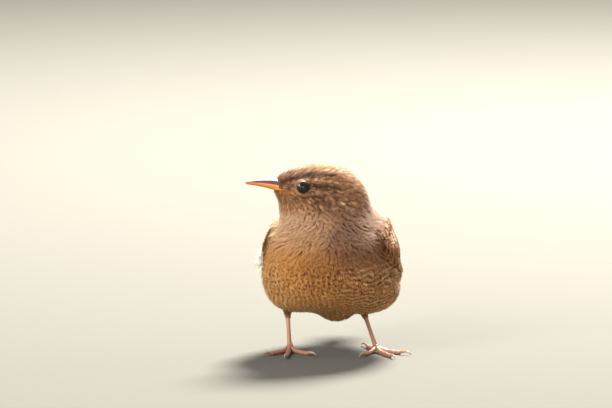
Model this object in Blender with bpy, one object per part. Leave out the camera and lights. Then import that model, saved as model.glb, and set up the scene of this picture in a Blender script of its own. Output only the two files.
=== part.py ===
"""A wren, life size, standing on both feet with its head turned to its right.

Metres, +Z up, floor at z = 0. The bird faces -Y, so its left side is at +X. The plumage is one smooth surface
round a few named masses, parted into head, neck and trunk by thin cuts. Bill, eyes, wings, tail and legs are
solids of their own, set into pockets of that surface.
"""

import math

import bmesh
import bpy
import numpy as np
from mathutils import Matrix, Vector

MM = 0.001
GAP = 0.3 * MM
SMALL_GAP = 0.12 * MM

# Pose
BODY_YAW = math.radians(-12)
HEAD_YAW = math.radians(-75)
HEAD_AT = Vector((-4.2, -6.0, 48.6)) * MM

# Plumage masses: centre, half axes and pitch in degrees, in mm of the body's and of the head's own frame.
BODY_MASSES = {
    "belly": ((0, 0, 24.2), (20.8, 20.5, 11.8), 0),
    "breast": ((0, -3.5, 31.0), (18.6, 18.0, 12.0), 0),
    "shoulders": ((0, 2.0, 36.8), (17.2, 14.0, 9.0), 0),
    "crop": ((0, -6.0, 38.5), (13.0, 11.5, 8.0), 0),
    "rump": ((0, 13.0, 26.0), (13.5, 12.5, 9.5), -14),
    "undertail": ((0, 14.0, 17.5), (7.0, 10.0, 4.6), 24),
    "vent": ((0.9, 5.3, 14.0), (5.6, 9.5, 5.2), 0),
    "left flank": ((11.0, 1.0, 19.0), (8.5, 12.5, 6.8), 0),
    "right flank": ((-11.0, 1.0, 19.0), (8.5, 12.5, 6.8), 0),
}
HEAD_MASSES = {
    "skull": ((0, 0.9, 1.3), (9.0, 11.9, 7.3), 0),
    "face": ((0, -8.0, 2.5), (3.6, 4.6, 3.0), 0),
    "nape": ((0, 6.5, -3.0), (8.8, 9.2, 8.4), 0),
    "throat": ((0, -4.0, -4.4), (6.4, 7.0, 6.0), 0),
}
BLEND = 1.5 * MM

# The axis that the plumage surface is measured from, and its mesh.
AXIS_LOW = Vector((0.5, 1.0, 24.0)) * MM
AXIS_HIGH = Vector((-4.5, -5.5, 48.5)) * MM
RINGS = 29
SPOKES = 40
NECK_FLOOR_Z = 40.6 * MM
NECK_TOP_Z = 44.6 * MM
NECK_TOP_TILT = math.radians(6)

# Eyes, in the head's frame: how far they sit to the side, ahead and up, and the ball's radius.
EYE_SIDE = 5.5 * MM
EYE_AHEAD = 6.2 * MM
EYE_UP = 3.2 * MM
EYE_R = 2.35 * MM

# Bill, in the head's frame
BILL_BASE_AHEAD = 9.0 * MM
BILL_LENGTH = 13.2 * MM
BILL_TIP_R = 0.26 * MM
BILL_TIP_DROOP = 0.3 * MM
BILL_GAPE_UP = 1.6 * MM
BILL_TIP_UP = 4.3 * MM
UPPER_DEPTH = 2.2 * MM
LOWER_DEPTH = 1.5 * MM
BILL_WIDTH = 4.0 * MM

# Wings, in the body's frame: the line from the wrist to the tip, and the blade's size
WRIST_Y = -9.5 * MM
WRIST_Z = 35.4 * MM
TIP_Y = 30.0 * MM
TIP_Z = 22.5 * MM
WING_WIDTH = 15.0 * MM
WING_THICK = 2.0 * MM
WRIST_SHARE = 0.38
WING_RIM = 0.6 * MM
WING_SINK = 0.1 * MM
BED_HALF_WIDTH = 19.8 * MM
BED_WIDEST_Y = 2.0 * MM

# Tail, in the body's frame
TAIL_ROOT = Vector((0, 15.0, 23.0)) * MM
TAIL_LENGTH = 35.0 * MM
TAIL_RISE = math.radians(14)
TAIL_ROOT_HALF = 3.0 * MM
TAIL_TIP_HALF = 5.6 * MM
TAIL_ROOT_THICK = 2.4 * MM
TAIL_TIP_THICK = 0.9 * MM
TAIL_ARCH = 0.9 * MM

# Legs: hidden ankle, and the joint where the toes meet, for each side
ANKLE = {"left": Vector((8.5, 4.0, 15.5)) * MM, "right": Vector((-13.3, 3.0, 16.0)) * MM}
TOE_JOINT = {"left": Vector((13.6, -1.5, 1.45)) * MM, "right": Vector((-12.4, -1.5, 1.45)) * MM}
TARSUS_R = 0.72 * MM
THIGH_TOP_R = 3.4 * MM
THIGH_END_R = 1.25 * MM
THIGH_SHARE = 0.33
PALM_R = 1.25 * MM
STUB_LENGTH = 3.3 * MM

# Toes: length without the claw, and the way each points from straight ahead, towards the bird's outer side
TOES = {
    "inner": (8.2 * MM, -48),
    "middle": (11.2 * MM, 0),
    "outer": (8.6 * MM, 36),
    "hind": (7.6 * MM, 178),
}
FOOT_TURN = {"left": 22, "right": -6}
TOE_R = 0.72 * MM
CLAW_LENGTH = 3.4 * MM
HIND_CLAW_LENGTH = 4.6 * MM
CLAW_R = 0.45 * MM
CLAW_TIP_R = 0.25 * MM

SIDES = {"left": 1, "right": -1}


def clear_scene():
    for obj in list(bpy.data.objects):
        bpy.data.objects.remove(obj, do_unlink=True)


def material(name, colour, roughness):
    """A Principled material of one colour."""
    made = bpy.data.materials.new(name)
    made.use_nodes = True
    shader = made.node_tree.nodes["Principled BSDF"]
    shader.inputs["Base Color"].default_value = (*colour, 1)
    shader.inputs["Roughness"].default_value = roughness
    shader.inputs["Metallic"].default_value = 0.0
    made.diffuse_color = (*colour, 1)
    return made


def new_empty(name, parent=None, location=(0, 0, 0), yaw=0.0):
    empty = bpy.data.objects.new(name, None)
    bpy.context.scene.collection.objects.link(empty)
    empty.parent = parent
    empty.location = location
    empty.rotation_euler = (0, 0, yaw)
    return empty


def new_object(name, points, faces, paint, parent, smooth=True):
    """One closed mesh object, with its faces turned outwards."""
    mesh = bpy.data.meshes.new(name)
    mesh.from_pydata([tuple(map(float, p)) for p in points], [], [tuple(map(int, f)) for f in faces])
    work = bmesh.new()
    work.from_mesh(mesh)
    bmesh.ops.recalc_face_normals(work, faces=work.faces)
    if work.calc_volume(signed=True) < 0:
        bmesh.ops.reverse_faces(work, faces=work.faces)
    work.to_mesh(mesh)
    work.free()
    if smooth:
        mesh.shade_smooth()
        mesh.set_sharp_from_angle(angle=math.radians(50))
    mesh.materials.append(paint)
    obj = bpy.data.objects.new(name, mesh)
    bpy.context.scene.collection.objects.link(obj)
    obj.parent = parent
    return obj


def as_helper(obj):
    """A cutter or an operand, which isn't part of the bird."""
    obj.hide_render = True
    obj.display_type = "WIRE"
    return obj


def boolean(obj, other, operation):
    step = obj.modifiers.new(f"{operation.lower()} {other.name}", "BOOLEAN")
    step.object = other
    step.operation = operation
    step.solver = "EXACT"


def closed_tube(rings):
    """Points and faces of a tube: rings is an array (stations, sides, 3), and both ends are filled flat."""
    stations, sides = rings.shape[:2]
    row = np.arange(stations - 1)[:, None] * sides
    here = np.arange(sides)[None, :]
    after = (here + 1) % sides
    quads = np.stack([row + here, row + after, row + sides + after, row + sides + here], -1)
    ends = [list(range(sides)), list(range((stations - 1) * sides, stations * sides))]
    return rings.reshape(-1, 3), [*quads.reshape(-1, 4).tolist(), *ends]


def closed_shell(outer, inner):
    """Points and faces of a plate between two grids of the same shape (rows, columns, 3)."""
    rows, columns = outer.shape[:2]
    count = rows * columns
    index = np.arange(count).reshape(rows, columns)
    top = np.stack([index[:-1, :-1], index[:-1, 1:], index[1:, 1:], index[1:, :-1]], -1).reshape(-1, 4)
    rim = np.concatenate([index[0, :], index[1:, -1], index[-1, -2::-1], index[-2:0:-1, 0]])
    beyond = np.roll(rim, -1)
    side = np.stack([rim, beyond, beyond + count, rim + count], -1)
    faces = [*top.tolist(), *(top[:, ::-1] + count).tolist(), *side.tolist()]
    return np.concatenate([outer.reshape(-1, 3), inner.reshape(-1, 3)]), faces


def path_rings(path, radii, sides, flatten=1.0):
    """Rings of a tube along a path: flatten is the section's width over its height."""
    tangents = np.gradient(path, axis=0)
    tangents /= np.linalg.norm(tangents, axis=1, keepdims=True)
    across = np.cross(tangents, np.array((0, 0, 1.0)))
    steep = np.linalg.norm(across, axis=1) < 0.2
    across[steep] = np.array((1.0, 0, 0))
    across /= np.linalg.norm(across, axis=1, keepdims=True)
    upward = np.cross(across, tangents)
    angle = 2 * math.pi * np.arange(sides) / sides
    ring = (
        np.cos(angle)[None, :, None] * across[:, None, :] * flatten
        + np.sin(angle)[None, :, None] * upward[:, None, :]
    )
    return path[:, None, :] + ring * radii[:, None, None]


def turn_z(angle):
    return np.array(Matrix.Rotation(angle, 3, "Z"))


def mass_distance(points, centre, half_axes, pitch):
    """Nearly the distance from each point to one ellipsoid, negative inside it."""
    turned = (points - np.array(centre) * MM) @ np.array(Matrix.Rotation(math.radians(pitch), 3, "X"))
    half = np.array(half_axes) * MM
    share = np.linalg.norm(turned / half, axis=-1)
    slope = np.linalg.norm(turned / half**2, axis=-1)
    return share * (share - 1) / np.maximum(slope, 1e-9)


def plumage_distance(points):
    """The smooth union of all the masses: negative inside the plumage, zero at the feather tips."""
    in_body = points @ turn_z(BODY_YAW)
    in_head = (points - np.array(HEAD_AT)) @ turn_z(HEAD_YAW)
    each = [mass_distance(in_body, *mass) for mass in BODY_MASSES.values()]
    each += [mass_distance(in_head, *mass) for mass in HEAD_MASSES.values()]
    each = np.stack(each)
    least = each.min(axis=0)
    return least - BLEND * np.log(np.exp((least - each) / BLEND).sum(axis=0))


def plumage_rings():
    """Rays leave a leaning axis, straight down at its foot, level half way and straight up at its head. Each
    point is where its ray leaves the plumage."""
    share = np.linspace(0, 1, RINGS)[:, None, None]
    spoke = (2 * math.pi * np.arange(SPOKES) / SPOKES)[None, :, None]
    rise = math.pi * (share - 0.5)
    ease = share * share * (3 - 2 * share)
    start = np.array(AXIS_LOW) + (np.array(AXIS_HIGH) - np.array(AXIS_LOW)) * ease
    ray = np.concatenate(
        [np.cos(rise) * np.cos(spoke), np.cos(rise) * np.sin(spoke), np.sin(rise) * np.ones_like(spoke)], axis=-1
    )
    reach = np.zeros((RINGS, SPOKES))
    for _ in range(80):
        reach -= 0.6 * plumage_distance(start + ray * reach[..., None])
    return start + ray * reach[..., None]


def plumage_mesh():
    """The whole plumage as one closed surface, with a single point at each pole."""
    rings = plumage_rings()
    inner = rings[1:-1].reshape(-1, 3)
    count = RINGS - 2
    row = np.arange(count - 1)[:, None] * SPOKES
    here = np.arange(SPOKES)[None, :]
    after = (here + 1) % SPOKES
    faces = np.stack([row + here, row + after, row + SPOKES + after, row + SPOKES + here], -1).reshape(-1, 4).tolist()
    low, high = len(inner), len(inner) + 1
    last = (count - 1) * SPOKES
    for k in range(SPOKES):
        faces.append([low, (k + 1) % SPOKES, k])
        faces.append([high, last + k, last + (k + 1) % SPOKES])
    return np.concatenate([inner, rings[0, :1], rings[-1, :1]]), faces


def region(name, low_z, high_z, tilt_low, tilt_high, parent):
    """A wide block between two planes, each tilted about the Y axis, that keeps one length of the plumage."""
    half = 60 * MM
    corners = []
    for level, tilt in ((low_z, tilt_low), (high_z, tilt_high)):
        for x, y in ((-half, -half), (half, -half), (half, half), (-half, half)):
            corners.append((x, y, level + x * math.tan(tilt)))
    faces = [(3, 2, 1, 0), (4, 5, 6, 7), (0, 1, 5, 4), (1, 2, 6, 5), (2, 3, 7, 6), (3, 0, 4, 7)]
    return as_helper(new_object(name, corners, faces, bpy.data.materials["cutter"], parent, smooth=False))


def ball(name, radius, paint, parent, location, segments=16, rings=10):
    work = bmesh.new()
    bmesh.ops.create_uvsphere(work, u_segments=segments, v_segments=rings, radius=radius)
    mesh = bpy.data.meshes.new(name)
    work.to_mesh(mesh)
    work.free()
    mesh.shade_smooth()
    mesh.materials.append(paint)
    obj = bpy.data.objects.new(name, mesh)
    bpy.context.scene.collection.objects.link(obj)
    obj.parent = parent
    obj.location = location
    return obj


def seam_up(share):
    """Height of the line between the two mandibles, from the gape (0) to the tip (1), bent down at the tip."""
    rise = np.sin(0.5 * math.pi * share) ** 0.75
    return BILL_GAPE_UP + (BILL_TIP_UP - BILL_GAPE_UP) * rise - BILL_TIP_DROOP * share**5


def bill_sections(share, grow):
    """Half width, depth above and depth below the seam, at shares of the bill's length."""
    taper = (1 - share) ** 0.75
    half_width = BILL_TIP_R + (BILL_WIDTH / 2 - BILL_TIP_R) * taper + grow
    return half_width, UPPER_DEPTH * taper + BILL_TIP_R + grow, LOWER_DEPTH * taper + BILL_TIP_R + grow


def mandible(name, way, paint, parent, stations=11, sides=5):
    """Half of the bill, a row of half ovals: way is 1 for the one above the seam and -1 for the one below it."""
    share = np.linspace(0, 1, stations)
    half_width, above, below = bill_sections(share, 0)
    depth = above if way > 0 else below
    turn = np.linspace(0, math.pi, sides + 1)
    x = half_width[:, None] * np.cos(turn)
    z = (seam_up(share) + way * SMALL_GAP / 2)[:, None] + way * depth[:, None] * np.abs(np.sin(turn)) ** 0.85
    y = np.broadcast_to(-(BILL_BASE_AHEAD + BILL_LENGTH * share)[:, None], x.shape)
    return new_object(name, *closed_tube(np.stack([x, y, z], -1)), paint, parent)


def bill_socket(paint, parent, stations=11, sides=16):
    """The room that the head leaves round both mandibles."""
    share = np.linspace(0, 1, stations)
    half_width, above, below = bill_sections(share, GAP)
    turn = 2 * math.pi * np.arange(sides) / sides
    x = half_width[:, None] * np.cos(turn)
    depth = np.where(np.sin(turn) > 0, above[:, None], below[:, None]) + SMALL_GAP / 2
    z = seam_up(share)[:, None] + depth * np.sign(np.sin(turn)) * np.abs(np.sin(turn)) ** 0.85
    y = np.broadcast_to(-(BILL_BASE_AHEAD + BILL_LENGTH * share - GAP * (share == 0))[:, None], x.shape)
    return as_helper(new_object("socket_bill", *closed_tube(np.stack([x, y, z], -1)), paint, parent))


def plumage_half_width(side, y, z):
    """How far the plumage reaches to one side of the midline, at y back and z up in the body's frame."""
    reach = np.zeros(np.broadcast(y, z).shape)
    for _ in range(60):
        points = np.stack(np.broadcast_arrays(side * reach, y, z), -1) @ turn_z(BODY_YAW).T
        reach -= 0.6 * plumage_distance(points)
    return reach


def bed_half_width(side, y, z):
    """How far the folded wing's inner face lies from the midline: on the plumage, or where that falls away on an
    oval that gets narrower, lower and flatter towards the wing tips."""
    back = np.clip((y - BED_WIDEST_Y) / (TIP_Y - BED_WIDEST_Y), 0, 1)
    front = np.clip((BED_WIDEST_Y - y) / (27 * MM), 0, 1)
    widest = BED_HALF_WIDTH * (1 - 0.7 * back**1.6) * np.sqrt(1 - front**2)
    middle = (29.0 - 7.0 * back) * MM
    half_height = (18.0 - 8.0 * back) * MM
    oval = widest * np.sqrt(np.clip(1 - ((z - middle) / half_height) ** 2, 0.04, 1))
    return np.maximum(oval, plumage_half_width(side, y, z) - WING_SINK)


def wing(name, side, grow, paint, parent, rows=17, columns=8):
    """A folded wing: a leaf on the bird's flank, thick in the middle and thin at the rim."""
    along = 0.5 - 0.5 * np.cos(math.pi * np.linspace(0, 1, rows))[:, None]
    across = np.linspace(-1, 1, columns)[None, :]
    line = np.array((TIP_Y - WRIST_Y, TIP_Z - WRIST_Z))
    length = np.linalg.norm(line)
    way = line / length
    up = np.array((-way[1], way[0]))
    rounded = np.sqrt(1 - (1 - np.minimum(along / WRIST_SHARE, 1)) ** 2)
    half = 0.5 * WING_WIDTH * rounded * (1 - along**2.4) ** 0.8 + 0.9 * MM + grow
    rise = 1.2 * MM * np.sin(math.pi * along)
    run = along * (length + 2 * grow) - grow
    y = WRIST_Y + run * way[0] + (across * half + rise) * up[0]
    z = WRIST_Z + run * way[1] + (across * half + rise) * up[1]
    bed = bed_half_width(side, y, z)
    body = (1 - np.abs(across) ** 2.5) * np.sqrt(np.clip(1 - (2 * along - 1) ** 6, 0, 1)) * (1 - 0.45 * along)
    thick = WING_RIM + (WING_THICK - WING_RIM) * body
    outer = np.stack([side * (bed + thick + grow), y, z], -1)
    inner = np.stack([side * (bed - grow), y, z], -1)
    return new_object(name, *closed_shell(outer, inner), paint, parent)


def tail(name, grow, paint, parent, rows=12, columns=8):
    """The closed tail: a long plate, arched like a shallow roof, its outer corners rounded off."""
    along = np.linspace(0, 1, rows)[:, None]
    across = np.linspace(-1, 1, columns)[None, :]
    half = TAIL_ROOT_HALF + (TAIL_TIP_HALF - TAIL_ROOT_HALF) * along**0.8 + grow
    run = along * (TAIL_LENGTH - 2.6 * MM * np.abs(across) ** 2.2 + 2 * grow) - grow
    thick = TAIL_ROOT_THICK + (TAIL_TIP_THICK - TAIL_ROOT_THICK) * along**0.6 + 2 * grow
    thick = thick * (1 - 0.35 * across**2)
    arch = -TAIL_ARCH * across**2 - 1.0 * MM * np.sin(math.pi * along)
    x = across * half
    y = TAIL_ROOT.y + run * math.cos(TAIL_RISE)
    z = TAIL_ROOT.z + run * math.sin(TAIL_RISE) + arch
    x, y, z, thick = np.broadcast_arrays(x, y, z, thick)
    outer = np.stack([x, y, z + thick / 2], -1)
    inner = np.stack([x, y, z - thick / 2], -1)
    return new_object(name, *closed_shell(outer, inner), paint, parent)


def thigh(name, side_name, grow, paint, parent, stations=5, sides=12):
    """The feathered shin: a cone from inside the flank down round the top of the bare leg."""
    top, foot = np.array(ANKLE[side_name]), np.array(TOE_JOINT[side_name])
    share = np.linspace(0, THIGH_SHARE, stations)
    path = top + (foot - top) * share[:, None]
    way = (foot - top) / np.linalg.norm(foot - top)
    path = np.concatenate([path[:1] - grow * way, path[1:-1], path[-1:] + grow * way])
    radii = THIGH_TOP_R + (THIGH_END_R - THIGH_TOP_R) * (share / THIGH_SHARE) ** 0.8 + grow
    return new_object(name, *closed_tube(path_rings(path, radii, sides)), paint, parent)


def tarsus(name, side_name, paint, parent, stations=6, sides=10):
    """The bare shank, waisted in the middle and thicker at the toe joint."""
    top, foot = np.array(ANKLE[side_name]), np.array(TOE_JOINT[side_name])
    length = np.linalg.norm(foot - top)
    share = np.linspace(THIGH_SHARE + GAP / length, 1, stations)
    path = top + (foot - top) * share[:, None]
    local = (share - share[0]) / (1 - share[0])
    radii = TARSUS_R * (1 + 0.25 * (1 - local) ** 3 + 0.45 * local**4)
    return new_object(name, *closed_tube(path_rings(path, radii, sides)), paint, parent)


def toe_way(side_name, toe_name):
    """The level direction of a toe."""
    side = SIDES[side_name]
    turn = math.radians(side * TOES[toe_name][1] + FOOT_TURN[side_name])
    return np.array((math.sin(turn), -math.cos(turn), 0.0))


def toe_point(side_name, toe_name, reach):
    """The middle of a toe at a distance from the toe joint: it drops from the joint to lie on the floor."""
    joint = np.array(TOE_JOINT[side_name])
    flat = TOE_R - 0.12 * MM
    height = flat + (joint[2] - flat) * np.exp(-((reach / (2.2 * MM)) ** 2))
    level = joint * (1, 1, 0)
    return level + toe_way(side_name, toe_name) * reach[:, None] + np.array((0, 0, 1.0)) * height[:, None]


def toe_radius(reach, length):
    """Toes narrow slowly and swell a little at each of three joints."""
    share = reach / length
    return TOE_R * (1.06 - 0.2 * share) * (1 + 0.07 * np.cos(6 * math.pi * share))


def toe(name, side_name, toe_name, start, end, paint, parent, stations=7, sides=8):
    length = TOES[toe_name][0]
    reach = np.linspace(start, end, stations)
    rings = path_rings(toe_point(side_name, toe_name, reach), toe_radius(reach, length), sides)
    return new_object(name, *closed_tube(rings), paint, parent)


def claw(name, side_name, toe_name, paint, parent, stations=6, sides=8):
    """A curved spike that leaves the toe's end, humps up a little and comes down on its point."""
    length = HIND_CLAW_LENGTH if toe_name == "hind" else CLAW_LENGTH
    share = np.linspace(0, 1, stations)
    start = TOES[toe_name][0] + GAP
    level = np.array(TOE_JOINT[side_name]) * (1, 1, 0)
    run = start + length * np.sin(share * 1.35) / math.sin(1.35)
    height = 0.75 * MM + 0.55 * MM * np.sin(math.pi * share) - (0.75 * MM - CLAW_TIP_R) * share**1.5
    path = level + toe_way(side_name, toe_name) * run[:, None] + np.array((0, 0, 1.0)) * height[:, None]
    radii = CLAW_R + (CLAW_TIP_R - CLAW_R) * share
    return new_object(name, *closed_tube(path_rings(path, radii, sides, flatten=0.8)), paint, parent)


def floor_block(parent):
    """All that lies below the floor, which trims the soles flat."""
    half = 60 * MM
    corners = [(x, y, z) for z in (-20 * MM, 0) for x, y in ((-half, -half), (half, -half), (half, half), (-half, half))]
    faces = [(3, 2, 1, 0), (4, 5, 6, 7), (0, 1, 5, 4), (1, 2, 6, 5), (2, 3, 7, 6), (3, 0, 4, 7)]
    return as_helper(new_object("below_floor", corners, faces, bpy.data.materials["cutter"], parent, smooth=False))


def centre_on_floor(root):
    """Moves the whole bird so that the origin is the middle of its box, on the floor."""
    bpy.context.view_layer.update()
    graph = bpy.context.evaluated_depsgraph_get()
    corners = []
    for obj in bpy.data.objects:
        if obj.type == "MESH" and not obj.hide_render:
            seen = obj.evaluated_get(graph)
            corners += [seen.matrix_world @ vertex.co for vertex in seen.data.vertices]
    low = [min(corner[axis] for corner in corners) for axis in range(2)]
    high = [max(corner[axis] for corner in corners) for axis in range(2)]
    root.location = (-(low[0] + high[0]) / 2, -(low[1] + high[1]) / 2, 0)


def build():
    clear_scene()
    material("cutter", (0.5, 0.5, 0.5), 0.5)
    feather = material("feather_brown", (0.33, 0.19, 0.10), 0.85)
    wing_paint = material("wing_brown", (0.20, 0.10, 0.05), 0.7)
    tail_paint = material("tail_brown", (0.22, 0.11, 0.06), 0.7)
    upper_paint = material("bill_horn", (0.10, 0.06, 0.06), 0.35)
    lower_paint = material("bill_orange", (0.75, 0.33, 0.06), 0.35)
    eye_paint = material("eye_black", (0.012, 0.010, 0.010), 0.08)
    leg_paint = material("leg_pink_brown", (0.36, 0.16, 0.11), 0.5)
    claw_paint = material("claw_horn", (0.30, 0.20, 0.14), 0.4)

    root = new_empty("wren")
    body = new_empty("body_frame", root, yaw=BODY_YAW)
    head_frame = new_empty("head_frame", root, HEAD_AT, HEAD_YAW)

    points, faces = plumage_mesh()
    head = new_object("head", points, faces, feather, root)
    neck = new_object("neck", points, faces, feather, root)
    trunk = new_object("trunk", points, faces, feather, root)
    far = 80 * MM
    boolean(head, region("keep_head", NECK_TOP_Z + GAP, far, NECK_TOP_TILT, 0, root), "INTERSECT")
    boolean(neck, region("keep_neck", NECK_FLOOR_Z + GAP, NECK_TOP_Z, 0, NECK_TOP_TILT, root), "INTERSECT")
    boolean(trunk, region("keep_trunk", -far, NECK_FLOOR_Z, 0, 0, root), "INTERSECT")

    mandible("bill_upper", 1, upper_paint, head_frame)
    mandible("bill_lower", -1, lower_paint, head_frame)
    boolean(head, bill_socket(upper_paint, head_frame), "DIFFERENCE")

    for side_name, side in SIDES.items():
        eye_at = (side * EYE_SIDE, -EYE_AHEAD, EYE_UP)
        ball(f"eye_{side_name}", EYE_R, eye_paint, head_frame, eye_at)
        socket = ball(f"socket_eye_{side_name}", EYE_R + SMALL_GAP, eye_paint, head_frame, eye_at)
        boolean(head, as_helper(socket), "DIFFERENCE")

    for side_name, side in SIDES.items():
        wing(f"wing_{side_name}", side, 0, wing_paint, body)
        pocket = as_helper(wing(f"pocket_wing_{side_name}", side, GAP, wing_paint, body))
        boolean(trunk, pocket, "DIFFERENCE")
        boolean(neck, pocket, "DIFFERENCE")

    tail("tail", 0, tail_paint, body)
    boolean(trunk, as_helper(tail("pocket_tail", GAP, tail_paint, body)), "DIFFERENCE")

    below = floor_block(root)
    for side_name in SIDES:
        thigh(f"thigh_{side_name}", side_name, 0, feather, root)
        boolean(trunk, as_helper(thigh(f"pocket_thigh_{side_name}", side_name, GAP, feather, root)), "DIFFERENCE")
        shank = tarsus(f"tarsus_{side_name}", side_name, leg_paint, root)
        joint = ball(f"knob_{side_name}", PALM_R, leg_paint, root, TOE_JOINT[side_name], 12, 8)
        boolean(shank, as_helper(joint), "UNION")
        for toe_name, (length, _) in TOES.items():
            label = f"{side_name}_{toe_name}"
            stub = toe(f"stub_{label}", side_name, toe_name, 0, STUB_LENGTH - GAP, leg_paint, root, stations=4)
            boolean(shank, as_helper(stub), "UNION")
            digit = toe(f"toe_{label}", side_name, toe_name, STUB_LENGTH, length, leg_paint, root)
            boolean(digit, below, "DIFFERENCE")
            claw(f"claw_{label}", side_name, toe_name, claw_paint, root)
        boolean(shank, below, "DIFFERENCE")
    centre_on_floor(root)


build()
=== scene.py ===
"""The looks of a wren: one skin under a coat of separate feathers, barred wings and tail, wet eyes, horn
bill, scaled legs and claws, on a pale floor in soft studio light."""

import math

import bpy
import numpy as np
from mathutils import Matrix, Vector
from mathutils.kdtree import KDTree


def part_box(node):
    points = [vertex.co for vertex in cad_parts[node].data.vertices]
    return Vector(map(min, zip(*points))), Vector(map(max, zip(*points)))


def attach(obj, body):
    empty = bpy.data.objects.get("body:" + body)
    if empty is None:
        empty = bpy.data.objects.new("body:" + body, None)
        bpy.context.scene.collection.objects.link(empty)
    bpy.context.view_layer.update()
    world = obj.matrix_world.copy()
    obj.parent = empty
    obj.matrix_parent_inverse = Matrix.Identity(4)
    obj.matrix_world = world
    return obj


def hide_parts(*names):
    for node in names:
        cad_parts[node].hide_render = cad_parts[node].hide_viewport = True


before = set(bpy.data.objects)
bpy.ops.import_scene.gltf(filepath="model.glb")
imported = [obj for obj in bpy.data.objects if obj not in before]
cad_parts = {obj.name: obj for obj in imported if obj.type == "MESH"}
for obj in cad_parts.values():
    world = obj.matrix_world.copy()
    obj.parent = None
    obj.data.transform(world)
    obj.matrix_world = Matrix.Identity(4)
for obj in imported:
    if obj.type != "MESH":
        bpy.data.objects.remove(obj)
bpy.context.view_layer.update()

MM = 0.001
rng = np.random.default_rng(11)

# Pose, as in the solids
BODY_YAW = math.radians(-12)
HEAD_YAW = math.radians(-75)
HEAD_AT = np.array((-4.2, -6.0, 48.6)) * MM

# Plumage masses: centre, half axes and pitch in degrees, in mm of the body's and of the head's own frame
BODY_MASSES = (
    ((0, 0, 24.2), (20.8, 20.5, 11.8), 0),
    ((0, -3.5, 31.0), (18.6, 18.0, 12.0), 0),
    ((0, 2.0, 36.8), (17.2, 14.0, 9.0), 0),
    ((0, -6.0, 38.5), (13.0, 11.5, 8.0), 0),
    ((0, 13.0, 26.0), (13.5, 12.5, 9.5), -14),
    ((0, 14.0, 17.5), (7.0, 10.0, 4.6), 24),
    ((0.9, 5.3, 14.0), (5.6, 9.5, 5.2), 0),
    ((11.6, 1.0, 19.2), (8.7, 12.5, 6.8), 0),
    ((-11.0, 1.0, 19.0), (8.5, 12.5, 6.8), 0),
)
HEAD_MASSES = (
    ((0, 0.9, 1.4), (9.0, 11.9, 7.65), 0),
    ((0, -8.3, 2.9), (3.6, 4.7, 3.85), 0),
    ((0, 6.5, -3.0), (8.8, 9.2, 8.4), 0),
    ((0, -4.0, -4.4), (6.4, 7.0, 6.0), 0),
)
CHIN_MASS = ((0, -10.4, 0.9), (2.1, 3.7, 1.5), -22)
BLEND = 1.5 * MM
FINE_BLEND = 0.3 * MM
AXIS_LOW = np.array((0.5, 1.0, 24.0)) * MM
AXIS_HIGH = np.array((-4.5, -5.5, 48.5)) * MM
SEARCH_ROUNDS = 60
SEARCH_STEP = 0.6

# Eyes, in the head's frame
EYE_SIDE = 5.5 * MM
EYE_AHEAD = 6.2 * MM
EYE_UP = 3.2 * MM
EYE_R = 2.35 * MM
EYE_BULGE = 0.02
EYE_OPENING = 1.62 * MM
EYE_SINK = 0.15 * MM
LID_COVER = 0.08 * MM
EYE_BLEND = 0.12 * MM
DISH_R = 4.0 * MM
DISH_SIDE = 10.3 * MM
LID_BACK = math.radians(88)

# Bill, in the head's frame
BILL_BASE_AHEAD = 9.0 * MM
BILL_LENGTH = 13.2 * MM
BILL_TIP_R = 0.26 * MM
BILL_GAPE_UP = 1.4 * MM
SEAM_RISE = 5.23 * MM
SEAM_BEND = 2.43 * MM
UPPER_DEPTH = 2.75 * MM
LOWER_DEPTH = 1.15 * MM
UPPER_FLARE = 0.8 * MM
LOWER_FLARE = 1.9 * MM
BILL_WIDTH = 4.0 * MM
BILL_GAP = 0.08 * MM
NOSTRIL_AT = 0.36
NOSTRIL_TURN = 0.62
NOSTRIL_DEPTH = 0.10 * MM

# Wings, in the body's frame
WRIST_Y = -9.5 * MM
WRIST_Z = 35.4 * MM
TIP_Y = 30.0 * MM
TIP_Z = 22.5 * MM
WING_LINE = np.array((TIP_Y - WRIST_Y, TIP_Z - WRIST_Z))
WING_RUN = np.linalg.norm(WING_LINE)
WING_WAY = WING_LINE / WING_RUN
WING_WIDTH = 15.0 * MM
WING_EDGE = 0.9 * MM
WING_BOW = 1.2 * MM
WING_THICK = 2.0 * MM
WRIST_SHARE = 0.38
WING_RIM = 0.6 * MM
WING_SINK = 0.1 * MM
FRONT_COVER = 7.0 * MM
SHOULDER_COVER = 3.0 * MM
BED_HALF_WIDTH = 19.8 * MM
BED_WIDEST_Y = 2.0 * MM
FACE_SHARE = 0.68
UPPER_STAND = 0.95 * MM

# Cross bars of wing and tail feathers: a run of so many mm along the feather has so many bars
BAR_RUN = 40
BARS_IN_RUN = 20

# Covert rows: share along at the tips and at the roots, number, half width, height at both ends, barbs and
# how many feathers of ten have a pale tip
COVERT_ROWS = (
    (0.41, 0.14, 12, 1.10, 0.38, 0.62, 36, 0.0),
    (0.33, 0.11, 13, 0.95, 0.46, 0.68, 26, 0.0),
    (0.27, 0.09, 14, 0.85, 0.52, 0.74, 22, 0.6),
    (0.215, 0.06, 14, 0.80, 0.58, 0.80, 20, 2.4),
    (0.165, 0.03, 13, 0.75, 0.62, 0.84, 18, 4.0),
    (0.12, 0.00, 11, 0.70, 0.66, 0.86, 18, 4.0),
)

# Tail, in the body's frame
TAIL_ROOT = np.array((0, 15.0, 23.0)) * MM
TAIL_LENGTH = 35.0 * MM
TAIL_RISE = math.radians(14)
TAIL_ROOT_HALF = 3.0 * MM
TAIL_TIP_HALF = 5.6 * MM
TAIL_ARCH = 0.9 * MM
TAIL_FEATHERS = 12

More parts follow.
